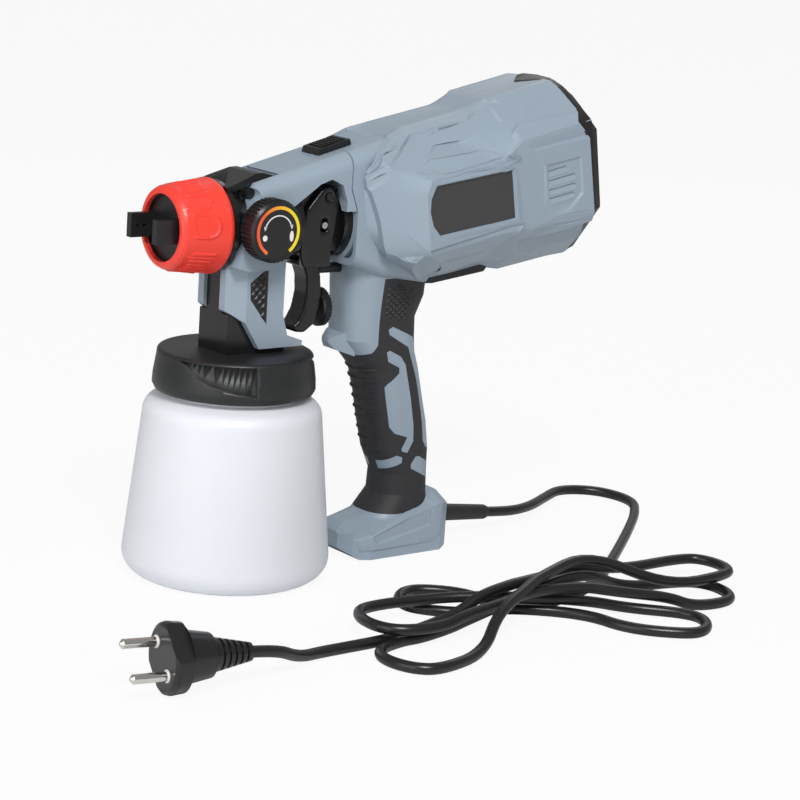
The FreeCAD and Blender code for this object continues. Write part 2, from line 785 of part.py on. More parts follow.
def build_trigger_group():
    side = [("28", "block_base - 2.5"), ("26.5", "190"), ("30.5", "203"), ("40", "214"),
            ("46", "215.5"), ("50.5", "210"), ("50.5", "200"), ("49.7", "192"),
            ("47.6", "180"), ("47.6", "block_base - 8"), ("30", "block_base - 8")]
    ears = [prism("ear_near", side, "-ear_outer", "-ear_inner"),
            prism("ear_far", side, "ear_inner", "ear_outer")]
    bridge = block("trigger_bridge", "30", "47.6", "-ear_outer", "ear_outer", "block_base - 8",
                   "block_base - 2.5")
    blade = prism("trigger_blade", [
        ("37", "block_base - 7"), ("47.6", "block_base - 7"), ("49.5", "163"), ("50.4", "154"),
        ("50.4", "146"), ("47", "137"), ("40.5", "132.4"), ("34.5", "132.8"), ("32.5", "136"),
        ("36", "139"), ("39.3", "145"), ("41", "154"), ("40.5", "163")],
        "-blade_half_width", "blade_half_width")
    mass = joined("trigger_mass", ears + [bridge, blade])
    pivot = cross_hole("trigger_pivot_hole", "pivot_radius + 0.12", "pivot_place",
                       "pivot_height")
    slot = block("trigger_slot", "dog_place - dog_radius - 0.25", "dog_place + dog_radius + 0.25",
                 "-ear_outer * 2", "ear_outer * 2", "axis_height - 3.6", "axis_height + 3.6")
    spindle_hole = cylinder_along("spindle_hole", "X", "knob_spindle_radius + 0.08",
                                  "knob_place - 7.5", "9", height="knob_height")
    keep(without("trigger", mass, joined("trigger_openings", [pivot, slot, spindle_hole])))
    keep(cylinder_along("trigger_pin", "Y", "pivot_radius", "-ear_outer", "ear_outer * 2",
                        across="pivot_place", height="pivot_height"))
    keep(place(turned("volume_knob", "X", [
        ("-7", "0"), ("-7", "knob_spindle_radius"), ("0", "knob_spindle_radius"),
        ("0", "knob_radius - 1.2"), ("1", "knob_radius"),
        ("knob_thickness - 1", "knob_radius"), ("knob_thickness", "knob_radius - 1.2"),
        ("knob_thickness", "0")]), x="knob_place", z="knob_height"))
    keep(place(turned("switch_plunger", "X", [
        ("plunger_front", "0"), ("plunger_front", "plunger_radius - 0.6"),
        ("plunger_front + 1", "plunger_radius"), ("75", "plunger_radius"),
        ("75", "plunger_radius + 1.6"),
        ("77", "plunger_radius + 1.6"), ("77", "0")]),
        z="plunger_height"))
    keep(fixed_shape("plunger_spring", coil_shape(77.0, 91.0, 3.2, 0.4, 5, "plunger_height")))


def build_flow_wheel():
    wheel = turned("flow_wheel", "Y", [
        ("0", "-wheel_outer_face"), ("wheel_radius - 1.4", "-wheel_outer_face"),
        ("wheel_radius", "-wheel_outer_face + 1.4"), ("wheel_radius", "-wheel_inner_face - 1"),
        ("wheel_radius - 1", "-wheel_inner_face"), ("wheel_hub_radius", "-wheel_inner_face"),
        ("wheel_hub_radius", "-barrel_radius + 3"), ("0", "-barrel_radius + 3")])
    keep(place(wheel, x="wheel_place", z="wheel_height"))


# Grey covers of the head, black inserts and hood

def top_line(place_text, drop="0"):
    return "cover_top_at_zero + cover_top_slope * (%s) - (%s)" % (place_text, drop)


def half_space(label, side):
    """Everything on one side of the plane y = 0, less half of the seam."""
    start = "-room_reach" if side < 0 else "close_gap / 2"
    end = "-close_gap / 2" if side < 0 else "room_reach"
    return block(label, "-room_reach", "room_reach", start, end, "-room_reach", "room_reach")


def build_head_covers():
    width = "cover_half_width"
    inside = "cover_half_width - cover_wall"
    shell = lofted("cover_loft", "YZ_Plane", [
        ("-18", "-" + width, width, "150", top_line("-18"), "8.5"),
        ("62", "-" + width, width, "150", top_line("62"), "8.5")])
    side = prism("cover_side", [
        ("-17", "174"), ("-8.5", "213"), ("-2", "222"), ("6", "250"),
        ("54", "250"), ("54", "213.5"), ("58.6", "201.5"), ("51.8", "201.5"),
        ("51.8", "207"), ("48.5", "216"), ("41", "219.5"), ("33.5", "217"),
        ("13", "203"), ("11", "172"), ("-11", "172")], "-30", "30")
    upper = shared("cover_upper", shell, side)
    room = lofted("cover_room", "YZ_Plane", [
        ("-4", "-(%s)" % inside, inside, "150", top_line("-4", "cover_wall + 0.6"), "6.5"),
        ("52", "-(%s)" % inside, inside, "150", top_line("52", "cover_wall + 0.6"), "6.5")])
    rooms = joined("cover_rooms", [
        room,
        cylinder_along("barrel_room", "X", "barrel_radius + close_gap", "-40", "90",
                       height="axis_height"),
        cylinder_along("spigot_room", "X", "spigot_radius + close_gap", "45", "30",
                       height="axis_height")])
    upper_shell = without("cover_upper_shell", upper, rooms)

    cladding_side = prism("cladding_side", [
        ("cladding_front", "176"), ("cladding_front", "149.5"), ("-7", "143"), ("2.5", "128.2"),
        ("30.5", "128.2"), ("31", "131"), ("21", "134"), ("cladding_rear", "146"),
        ("cladding_rear", "176")], "-cladding_half_width", "cladding_half_width")
    cladding_plan = prism("cladding_plan", [
        ("cladding_front", "-13"), ("-7", "-cladding_half_width"), ("40", "-cladding_half_width"),
        ("40", "cladding_half_width"), ("-7", "cladding_half_width"), ("cladding_front", "13")],
        "120", "180", role="XY_Plane")
    cladding = shared("cladding", cladding_side, cladding_plan)
    covers = joined("cover_both", [upper_shell, cladding])

    insert_outline = [("6.1", "172.3"), ("-5", "164.5"), ("-4.5", "155.6"), ("6.4", "141.8")]
    gap = "close_gap"
    tools = joined("cover_openings", [
        block("column_room", "column_front - 1.5", "column_rear + 1.2",
              "-column_half_width - " + gap, "column_half_width + " + gap, "100", "190"),
        block("strip_room", "-30", "0", "-strip_half_width - " + gap,
              "strip_half_width + " + gap, "100", "190"),
        block("base_room", "-30", "column_rear + 8.2", "-column_half_width - " + gap,
              "column_half_width + " + gap, "100", "lid_height + 6.1"),
        block("front_block_room", "-30", "column_front", "-column_half_width - " + gap,
              "column_half_width + " + gap, "100", "neck_block_top + " + gap),
        cylinder_along("barrel_clear", "X", "barrel_radius + close_gap", "-40", "90",
                       height="axis_height"),
        cylinder_along("wheel_hole", "Y", "wheel_hub_radius + slide_gap", "-40", "40",
                       across="wheel_place", height="wheel_height"),
        block("tongue_room", "39.7", "60", "-10", "10", top_line("40", "5.8"), "260"),
        block("latch_way", "49", "60", "-3.5", "3.5", "216.5", "230"),
        cross_hole("hood_screw_recess", "screw_head_radius + 0.2", HOOD_SCREW[0],
                   HOOD_SCREW[1]),
        prism("hood_room", hood_corners("close_gap"), "-hood_half_width - " + gap,
              "hood_half_width + " + gap),
        block("block_room", "block_front - 0.1", "block_rear + 10",
              "-block_half_width - " + gap, "block_half_width + " + gap,
              "block_base - 1", "block_top + 0.1"),
        prism("insert_room_left", insert_outline, "-cladding_half_width - 1",
              "-cladding_half_width + insert_depth"),
        prism("insert_room_right", insert_outline, "cladding_half_width - insert_depth",
              "cladding_half_width + 1")])
    open_covers = without("covers_open", covers, tools)
    keep(shared("head_cover_left", open_covers, half_space("cover_side_left", -1)))
    keep(shared("head_cover_right", open_covers, half_space("cover_side_right", 1)))
    keep(prism("neck_insert_left", insert_outline, "-cladding_half_width - 0.2",
               "-cladding_half_width + insert_depth"))
    keep(prism("neck_insert_right", insert_outline, "cladding_half_width - insert_depth",
               "cladding_half_width + 0.2"))


def hood_corners(grow="0"):
    return [("barrel_front + 0.2 - (%s)" % grow, "207"),
            ("barrel_front + 0.2 - (%s)" % grow, "219.5 + (%s)" % grow),
            ("1", "227 + (%s)" % grow), ("12.5 + (%s)" % grow, "221.5"),
            ("2 + (%s)" % grow, "208")]


def build_hood():
    hood = prism("hood_mass", hood_corners(), "-hood_half_width", "hood_half_width")
    slope = prism("hood_slope", [
        ("-hood_half_width - 1", "190"), ("-hood_half_width - 1", "216"),
        ("-hood_half_width + 6", "230"), ("hood_half_width - 6", "230"),
        ("hood_half_width + 1", "216"), ("hood_half_width + 1", "190")],
        "-30", "30", role="YZ_Plane")
    shaped = shared("hood_shaped", hood, slope)
    barrel = on_nozzle_axis(turned("hood_barrel", "X", [
        ("-30", "0"), ("-30", "flange_radius + close_gap"),
        ("barrel_front + flange_width + 0.2", "flange_radius + close_gap"),
        ("barrel_front + flange_width + 0.2", "barrel_radius + close_gap"),
        ("30", "barrel_radius + close_gap"), ("30", "0")]))
    keep(without("front_hood", shaped, joined("hood_openings", [barrel]
                                              + hood_screw_holes("hood_screw_hole"))))


# Screws: one shape, used along Y

HOOD_SCREW = ("-8", "212.5")
HOOD_TIP = "air_bore_radius * 0.5"


def hood_screw_holes(label):
    return [cylinder_along(label + "_near", "Y", "screw_radius", "-30", "30 - (%s)" % HOOD_TIP,
                           across=HOOD_SCREW[0], height=HOOD_SCREW[1]),
            cylinder_along(label + "_far", "Y", "screw_radius", HOOD_TIP,
                           "30 - (%s)" % HOOD_TIP, across=HOOD_SCREW[0],
                           height=HOOD_SCREW[1])]


def screw(label, place_along, height, tip, head):
    """A pan-head screw along Y, from its tip to the underside of its head."""
    shank = cylinder_along(label + "_shank", "Y", "screw_radius", tip, "(%s) - (%s)" % (head, tip),
                           across=place_along, height=height)
    cap = cylinder_along(label + "_head", "Y", "screw_head_radius", head, "screw_head_height",
                         across=place_along, height=height)
    return [shank, cap]


def build_latch():
    top_front = top_line("42")
    plate = prism("latch_plate", [
        ("42", top_front + " + 0.3"), ("43", top_front + " + 3.6"),
        ("62.5", top_line("62.5") + " + 3.6"), ("63.5", top_line("63.5") + " + 0.3")],
        "-8", "8")
    stem = block("latch_stem", "49.5", "53.5", "-3", "3", "block_top + 5.5",
                 top_line("49.5") + " + 1")
    keep(joined("latch_button", [plate, stem]))


# Motor housing, handle and foot

# Sloping planes along the motor axis, above and below: station, ridge over the middle, bend,
# upper line at the sides, lower line at the sides, keel under the middle
BULGE_FACETS = [("-100", "52.9", "35.5", "16.6", "-15.9", "-59.4"),
                ("-6", "55.4", "38", "19.1", "-15.9", "-59.4"),
                ("7", "54.1", "45.6", "26.9", "-16.9", "-67.9"),
                ("housing_rear + 4", "56.3", "47.8", "29.1", "-16.9", "-67.9")]
COVER_FACETS = [("54", "56.1", "47.6", "28.9", "-16.7", "-67.7"),
                ("housing_rear", "56.1", "47.6", "28.9", "-16.7", "-67.7"),
                ("66", "53.5", "42.5", "18.7", "-13.5", "-68"),
                ("74", "44.2", "32.5", "8.7", "-4.5", "-58")]


def facet_loft(label, sections, inset="0"):
    """A mass bounded by the sloping planes, as a tool; inset moves each plane inwards."""
    body = new_body(label)
    sketches = []
    down = "%s - facet_top_share * (" + inset + ")"
    rise = "%s + facet_low_share * (" + inset + ")"
    for i, (along, ridge, bend, side, low, keel) in enumerate(sections):
        sketch = new_sketch(body, "YZ_Plane", "%s_section_%d" % (label, i), along)
        sketches.append(outline(sketch, [
            ("0", down % ridge), ("-facet_bend", down % bend), ("-facet_reach", down % side),
            ("-facet_reach", rise % low), ("0", rise % keel), ("facet_reach", rise % low),
            ("facet_reach", down % side), ("facet_bend", down % bend)]))
    doc.recompute()
    loft = body.newObject("PartDesign::AdditiveLoft", label + "_loft")
    loft.Profile = sketches[0]
    loft.Sections = sketches[1:]
    loft.Ruled = True
    doc.recompute()
    return body


def motor_loft(label, inset="0"):
    """The housing's bulge along the motor axis; inset draws its inside."""
    stations = [("-88", "22", "22", "-8", "8"), ("-76", "35", "34", "-20", "12"),
                ("-62", "46.4", "41.5", "-33", "12"), ("-52", "46.4", "44", "-41", "12"),
                ("-6", "46.4", "45.2", "-44.5", "12"), ("7", "46.4", "49.3", "-48.5", "12"),
                ("housing_rear", "housing_half_width", "51.5", "-50", "12")]
    sections = []
    for i, (along, wide, top, bottom, corner) in enumerate(stations):
        if inset != "0" and i == 0:
            along = along + " + 4"
        if inset != "0" and i == len(stations) - 1:
            along = along + " + 3"
        sections.append((along, "-(%s) + %s" % (wide, inset), "%s - (%s)" % (wide, inset),
                         "%s + %s" % (bottom, inset), "%s - (%s)" % (top, inset),
                         "%s - (%s)" % (corner, inset)))
    return on_motor_axis(shared(label, lofted(label + "_round", "YZ_Plane", sections),
                                facet_loft(label + "_facets", BULGE_FACETS, inset)))


def front_loft(label, inset="0"):
    stations = [("54.5", "172.7"), ("80", "163"), ("112", "158")]
    sections = []
    for i, (along, bottom) in enumerate(stations):
        top = top_line(along)
        if inset != "0" and i == 0:
            along = along + " + 3"
        sections.append((along, "-front_half_width + " + inset, "front_half_width - (%s)" % inset,
                         "%s + %s" % (bottom, inset), "%s - (%s)" % (top, inset),
                         "8 - (%s)" % inset))
    return lofted(label, "YZ_Plane", sections)


HANDLE = [("12", "112", "26", "19"), ("22", "113", "22", "18"), ("34", "117", "16.5", "16.2"),
          ("46", "117", "15.9", "16"), ("60", "113.5", "18.6", "17.3"),
          ("76", "110", "19.3", "18"), ("92", "106", "19", "17.8"),
          ("108", "101.5", "19.5", "17.3"), ("117", "96", "22", "17"),
          ("126", "92", "25", "16.5"), ("138", "91.5", "25", "16.5"),
          ("150", "94", "27.5", "17.5"), ("168", "94", "28", "20")]


def handle_loft(label, inset="0"):
    sections = []
    for height, middle, depth, wide in HANDLE:
        sections.append((height, "%s - %s + %s" % (middle, depth, inset),
                         "%s + %s - (%s)" % (middle, depth, inset),
                         "-%s + %s" % (wide, inset), "%s - (%s)" % (wide, inset),
                         "0.85 * (%s - (%s))" % (wide, inset)))
    return lofted(label, "XY_Plane", sections)


def foot_mass(label, plan, side, drop="0"):
    """A prism over a plan, under the foot's side outline and its two sloping shoulders."""
    low = "-foot_half_width - 5"
    high = "foot_half_width + 5"
    body = new_body(label + "_slopes")
    sketches = []
    for i, (along, top) in enumerate(FOOT_TOP):
        sketch = new_sketch(body, "YZ_Plane", "%s_slopes_%d" % (label, i), along)
        ridge = "%s + foot_flat * foot_slope - (%s)" % (top, drop)
        side_line = "%s - (foot_slope_reach - foot_flat) * foot_slope - (%s)" % (top, drop)
        sketches.append(outline(sketch, [
            ("0", ridge), ("-foot_slope_reach", side_line), ("-foot_slope_reach", "-12"),
            ("foot_slope_reach", "-12"), ("foot_slope_reach", side_line)]))
    doc.recompute()
    loft = body.newObject("PartDesign::AdditiveLoft", label + "_slopes_loft")
    loft.Profile = sketches[0]
    loft.Sections = sketches[1:]
    loft.Ruled = True
    doc.recompute()
    flat = shared(label + "_flat", prism(label + "_plan", plan, "-10", "50", role="XY_Plane"),
                  prism(label + "_side", side, low, high))
    return shared(label, flat, body)


FOOT_TOP = [("55", "15"), ("71", "15"), ("76", "20"), ("88", "22.5"), ("112", "29"),
            ("135", "35"), ("142", "32"), ("149", "24"), ("165", "10")]
FOOT_SIDE = [("71", "6")] + FOOT_TOP[1:-1] + [("149", "5"), ("144", "0"), ("80", "0")]
GRIP_WINDOWS = {
    "a": [("91.3", "132.4"), ("94.4", "133.8"), ("110.3", "126.7"), ("114.4", "121.3"),
          ("119.7", "101.3"), ("123.7", "84.7"), ("127.6", "65.1"), ("127.6", "60.3"),
          ("124.6", "61.3"), ("121.4", "65.7"), ("118.4", "82.9"), ("113.9", "101.8"),
          ("106.3", "121.3"), ("92.3", "129.4")],
    "b": [("90.9", "119.5"), ("93", "120.3"), ("101", "116.3"), ("104.6", "111.4"),
          ("109.5", "91.5"), ("112.8", "75"), ("113.6", "66.2"), ("110.1", "59.6"),
          ("106.5", "60.6"), ("105.9", "62.4"), ("109", "69"), ("100.6", "71.6"),
          ("97.4", "75.3"), ("92", "98.8"), ("93.2", "100.9"), ("100.4", "107"),
          ("100.2", "110.1"), ("92.1", "114.1")],
    "c": [("92", "51.4"), ("96.5", "52.6"), ("103.8", "58.2"), ("107.2", "57"),
          ("107.5", "53.5"), ("98.3", "47.5"), ("92.3", "44.8")],
    "d": [("116.7", "56.7"), ("119.2", "56.7"), ("127.6", "52.1"), ("128.4", "42.5"),
          ("114.3", "49.7"), ("113.8", "52.1")]}
BODY_SCREWS = [("68", "224"), ("99", "238"), ("137", "170"), ("109", "108"), ("122", "52"),
               ("96", "15"), ("136.8", "26.2")]
COVER_SCREWS = [(-25, 27), (25, 27), (-25, -27), (25, -27)]
RIB_STEPS = (1.0, 1.16, 1.32)
PLATE = [("-54.6", "17.5"), ("0", "15.7"), ("0.3", "-12.7"), ("-54", "-11"), ("-58.6", "-4"),
         ("-60", "4"), ("-58.8", "11")]


def soft_region(label):
    """The part of the handle that the rubber covers, as a tool."""
    band = prism(label + "_band", [
        ("60", "24"), ("140", "24"), ("140", "150"), ("125", "162"), ("84.5", "162"),
        ("84.5", "124"), ("81", "119.5"), ("73", "117"), ("60", "117")], "-40", "40")
    windows = []
    for name, corners in GRIP_WINDOWS.items():
        windows.append(prism("%s_window_%s_near" % (label, name), corners, "-40", "-4"))
        windows.append(prism("%s_window_%s_far" % (label, name), corners, "4", "40"))
    return without(label, band, joined(label + "_windows", windows))


def cover_post(label, across, up, radius, start, end):
    """A cylinder parallel to the motor axis, beside it by across and up."""
    item = doc.addObject("Part::Cylinder", label)
    item.Label = label
    item.setExpression("Radius", bound(radius))
    item.setExpression("Height", bound("(%s) - (%s)" % (end, start)))
    lean = "(motor_tilt * 1 deg)"
    x = "motor_place + (%s) * cos%s - (%s) * sin%s" % (start, lean, up, lean)
    z = "motor_height + (%s) * sin%s + (%s) * cos%s" % (start, lean, up, lean)
    return place(item, x=x, y=str(across), z=z, axis=Vector(0, 1, 0), angle="90 - motor_tilt")


def build_housing():
    bulge = motor_loft("bulge")
    front = front_loft("front_body")
    handle = handle_loft("handle")
    foot = foot_mass("foot", [
        ("71", "-8"), ("76", "-16"), ("86", "-foot_half_width"), ("136", "-foot_half_width"),
        ("145", "-14"), ("149", "-8"), ("149", "8"), ("145", "14"), ("136", "foot_half_width"),
        ("86", "foot_half_width"), ("76", "16"), ("71", "8")], FOOT_SIDE)
    lip = shared("finger_lip", prism("finger_lip_side", [
        ("68", "131"), ("60", "127.5"), ("59.5", "125"), ("63", "121"), ("74", "117"),
        ("74", "131")], "-10", "10"), prism("finger_lip_plan", [
            ("75", "-9.5"), ("66", "-8"), ("59", "-2.5"), ("59", "2.5"), ("66", "8"),
            ("75", "9.5")], "110", "140", role="XY_Plane"))
    tongue = prism("tongue", [
        ("40", top_line("40", "5.4")), ("40", top_line("40")), ("70", top_line("70")),
        ("70", top_line("40", "5.4"))], "-9.7", "9.7")
    outer = joined("housing_mass", [bulge, front, handle, foot, lip, tongue])

    wall = "housing_wall"
    bulge_room = motor_loft("bulge_room", wall)
    front_room = front_loft("front_room", wall)
    handle_room = handle_loft("handle_room", "5")
    foot_room = foot_mass("foot_room", [
        ("78", "-8"), ("88", "-17"), ("135", "-17"), ("145.8", "-9"), ("145.8", "9"),
        ("135", "17"), ("88", "17"), ("78", "8")],
        [("78", "3"), ("78", "15"), ("90", "18.5"), ("112", "25"), ("132", "31"),
         ("145.8", "25.5"), ("145.8", "3")], "foot_room_drop")
    rooms = joined("housing_rooms", [bulge_room, front_room, handle_room, foot_room])

    ribs = [on_motor_axis(turned("front_rib", "X", [
                ("-43.5", "31.6"), ("-39", "31.6"), ("-39", "70"), ("-43.5", "70")])),
            on_motor_axis(turned("rear_rib", "X", [
                ("21", "41.7"), ("25", "41.7"), ("25", "80"), ("21", "80")])),
            on_nozzle_axis(turned("socket_wall", "X", [
                ("50", "0"), ("50", "spigot_radius + 3"), ("72", "spigot_radius + 3"),
                ("72", "0")]))]
    for i, (along, height) in enumerate(BODY_SCREWS):
        ribs.append(cross_hole("boss_%d" % i, "boss_radius", along, height))
    for i, (across, up) in enumerate(COVER_SCREWS):
        for j, share in enumerate(RIB_STEPS):
            ribs.append(cover_post("cover_post_%d_%d" % (i, j), across * share, up * share,
                                   "boss_radius", "casing_rear + 0.5", "56"))
    ribs += clamp_cylinders("clamp_post", "boss_radius", "0", "cord_clamp_height - 0.1")
    hollow = without("housing_hollow", rooms, joined("housing_ribs", ribs))
    shell = without("housing_shell", outer, hollow)

    rubber_core = handle_loft("rubber_core", "grip_thickness + close_gap")
    rubber_outer = handle_loft("rubber_outer", "-0.5")
    rubber_ring = without("rubber_ring", rubber_outer, rubber_core)
    grip_room = without("grip_room", shared("grip_place", rubber_ring, soft_region("grip_area")),
                        joined("grip_keepers", [
                            foot_mass("grip_foot", [("60", "-30"), ("160", "-30"), ("160", "30"),
                                                    ("60", "30")], FOOT_SIDE),
                            motor_loft("grip_bulge")]))
    plate_room = "plate_room_"
    grown = [("-55", "17.8"), ("0.2", "16"), ("0.5", "-13"), ("-54.2", "-11.3"),
             ("-59", "-4.2"), ("-60.4", "4"), ("-59.2", "11.3")]
    depth = "46.4 + plate_proud - plate_thickness"
    tools = [
        grip_room,
        cylinder_along("spigot_socket", "X", "spigot_radius + 0.2", "40", "33",
                       height="axis_height"),
        prism("front_step", [("45", "150"), ("45", "213.5"), ("54.5", "213.5"), ("59", "201.5"),
                             ("59", "150")], "-40", "40"),
        on_motor_axis(prism(plate_room + "left", grown, "-60", "-(%s)" % depth)),
        on_motor_axis(prism(plate_room + "right", grown, depth, "60")),
        block("latch_slot", "49.2", "58.5", "-3.3", "3.3", "217", "260"),
        cylinder_along("plunger_way", "X", "plunger_radius + slide_gap", "50", "27",
                       height="plunger_height"),
        place(cylinder_along("relief_way", "X", "relief_radius + 0.1", "0", "12"),
              x="relief_place - 8 * cos(relief_drop * 1 deg)",
              z="relief_height + 8 * sin(relief_drop * 1 deg)", axis=Vector(0, 1, 0),
              angle="90 + relief_drop")]
    for i, (along, height) in enumerate(BODY_SCREWS):
        tools.append(cylinder_along("pilot_%d" % i, "Y", "screw_radius", "-9.4", "19",
                                    across=along, height=height))
        tools.append(cylinder_along("recess_%d" % i, "Y", "screw_head_radius + 0.2", "9", "60",
                                    across=along, height=height))
    for i, (across, up) in enumerate(COVER_SCREWS):
        tools.append(cover_post("cover_pilot_%d" % i, across, up, "screw_radius", "44", "80"))
    tools += clamp_cylinders("clamp_pilot", "screw_radius", "cord_clamp_height - 7", "9")
    body = without("housing_open", shell, joined("housing_tools", tools))
    keep(shared("housing_left", body, half_space("housing_side_left", -1)))
    keep(shared("housing_right", body, half_space("housing_side_right", 1)))

    skin = without("grip_skin", handle_loft("grip_outer"), handle_loft("grip_core",
                                                                       "grip_thickness"))
    grips = without("grips", shared("grip_skin_place", skin, soft_region("grip_zone")),
                    joined("grip_limits", [
                        foot_mass("grip_over_foot", [("60", "-30"), ("160", "-30"),
                                                     ("160", "30"), ("60", "30")], FOOT_SIDE),
                        motor_loft("grip_under_bulge")]))
    keep(shared("grip_left", grips, half_space("grip_side_left", -1)))
    keep(shared("grip_right", grips, half_space("grip_side_right", 1)))

    keep(on_motor_axis(prism("nameplate_left", PLATE, "-46.4 - plate_proud",
                             "-46.4 - plate_proud + plate_thickness")))
    keep(on_motor_axis(prism("nameplate_right", PLATE, "46.4 + plate_proud - plate_thickness",
                             "46.4 + plate_proud")))


def faceted(label, sections, inset="0"):
    """A loft of the rear cover, kept within the sloping planes."""
    return shared(label, lofted(label + "_round", "YZ_Plane", sections),
                  facet_loft(label + "_facets", COVER_FACETS, inset))


def build_rear_cover():
    cap = faceted("cover_cap", [
        ("60", "-45.8", "45.8", "-49.8", "51.3", "12"),
        ("66", "-43.5", "43.5", "-48.5", "49.5", "12"),
        ("72", "-37", "37", "-42", "43", "10")])
    rim = faceted("cover_rim", [
        ("56", "-43.1", "43.1", "-47.1", "48.6", "10"),
        ("60.5", "-43.1", "43.1", "-47.1", "48.6", "10")], "housing_wall + slide_gap")
    solid = joined("cover_cap_mass", [cap, rim])
    rim_room = faceted("cover_rim_room", [
        ("55", "-41", "41", "-45", "46.5", "8"), ("60.5", "-41", "41", "-45", "46.5", "8")],
        "cover_room_inset + 0.4")
    cap_room = faceted("cover_cap_hollow", [
        ("60.2", "-41.2", "41.2", "-45.2", "46.7", "8"),
        ("65.6", "-40.9", "40.9", "-45.9", "46.9", "8"),
        ("69.6", "-35.6", "35.6", "-40.6", "41.6", "8")], "cover_room_inset")
    posts = []
    holes = []
    for i, (across, up) in enumerate(COVER_SCREWS):
        posts.append(local_cylinder("rear_post_%d" % i, across, up, "boss_radius", "56.2", "71"))
        holes.append(local_cylinder("rear_hole_%d" % i, across, up, "screw_radius + 0.2",
                                    "50", "80"))
        holes.append(local_cylinder("rear_sink_%d" % i, across, up, "screw_head_radius + 0.2",
                                    "66", "80"))
    hollow = without("rear_hollow", joined("rear_rooms", [rim_room, cap_room]),
                     joined("rear_posts", posts))
    slots = []
    for i in range(7):
        level = -30 + 10 * i
        half = 27 if abs(level) < 25 else 18
        slots.append(block("rear_slot_%d" % i, "68", "75", str(-half), str(half),
                           str(level - 1.6), str(level + 1.6)))
    shell = without("rear_cover_shell", solid, hollow)
    keep(on_motor_axis(without("rear_cover", shell,
                               joined("rear_openings", slots + holes))))
    filter_body = faceted("filter_sheet", [
        ("61", "-40.8", "40.8", "-44.8", "46.3", "7.6"),
        ("65", "-40.6", "40.6", "-44.8", "46.3", "7.6")], "cover_room_inset + slide_gap")
    clear = []
    for i, (across, up) in enumerate(COVER_SCREWS):
        clear.append(local_cylinder("filter_hole_%d" % i, across, up, "boss_radius + 0.2",
                                    "55", "75"))
    keep(on_motor_axis(without("intake_filter", filter_body, joined("filter_holes", clear))))


def local_cylinder(label, across, up, radius, start, end):
    return cylinder_along(label, "X", radius, start, "(%s) - (%s)" % (end, start),
                          across=str(across), height=str(up))


def build_screws():
    body_parts = []
    for i, (along, height) in enumerate(BODY_SCREWS):
        body_parts += screw("body_screw_%d" % i, along, height, "-9", "9")
    for i, (across, up) in enumerate(COVER_SCREWS):
        body_parts.append(cover_post("rear_screw_%d" % i, across, up, "screw_radius",
                                     "casing_rear + 1", "66.1"))
        body_parts.append(cover_post("rear_screw_head_%d" % i, across, up,
                                     "screw_head_radius", "66", "66 + screw_head_height"))
    keep(joined("housing_screws", body_parts))
    keep(joined("head_screws", screw("hood_screw_right", HOOD_SCREW[0], HOOD_SCREW[1],
                                     HOOD_TIP, "hood_half_width")
                + near_screw("hood_screw_left", HOOD_SCREW[0], HOOD_SCREW[1],
                             HOOD_TIP, "hood_half_width")))


def near_screw(label, place_along, height, tip, head):
    """The same screw on the near side, its head towards -Y."""
    shank = cylinder_along(label + "_shank", "Y", "screw_radius", "-(%s)" % head,
                           "(%s) - (%s)" % (head, tip), across=place_along, height=height)
    cap = cylinder_along(label + "_head", "Y", "screw_head_radius",
                         "-(%s) - screw_head_height" % head, "screw_head_height",
                         across=place_along, height=height)
    return [shank, cap]


def vane_ring(label, start):
    """A fan wheel: back plate, hub and straight vanes round the shaft."""
    wheel = new_body(label)
    sketch = new_sketch(wheel, "XZ_Plane", label + "_outline")
    rear = "(%s) + impeller_width" % start
    outline(sketch, [(start, "shaft_radius"), (start, "8"), (rear + " - 1.4", "8"),
                     (rear + " - 1.4", "impeller_radius"), (rear, "impeller_radius"),
                     (rear, "shaft_radius")])
    spin = wheel.newObject("PartDesign::Revolution", label + "_turn")
    spin.Profile = sketch
    spin.ReferenceAxis = (sketch, ["H_Axis"])
    spin.Angle = FULL_TURN
    doc.recompute()
    blade = new_sketch(wheel, "YZ_Plane", label + "_blade", start)
    outline(blade, [("-0.7", "7"), ("0.7", "7"), ("0.7", "impeller_radius - 0.6"),
                    ("-0.7", "impeller_radius - 0.6")])
    pad = wheel.newObject("PartDesign::Pad", label + "_vane")
    pad.Profile = blade
    pad.Length = number("impeller_width - 1")
    pad.setExpression("Length", bound("impeller_width - 1"))
    doc.recompute()
    ring = wheel.newObject("PartDesign::PolarPattern", label + "_vanes")
    ring.Originals = [pad]
    ring.Axis = (blade, ["N_Axis"])
    ring.Angle = FULL_TURN
    ring.Occurrences = int(number("vane_count"))
    wheel.Tip = ring
    doc.recompute()
    return wheel


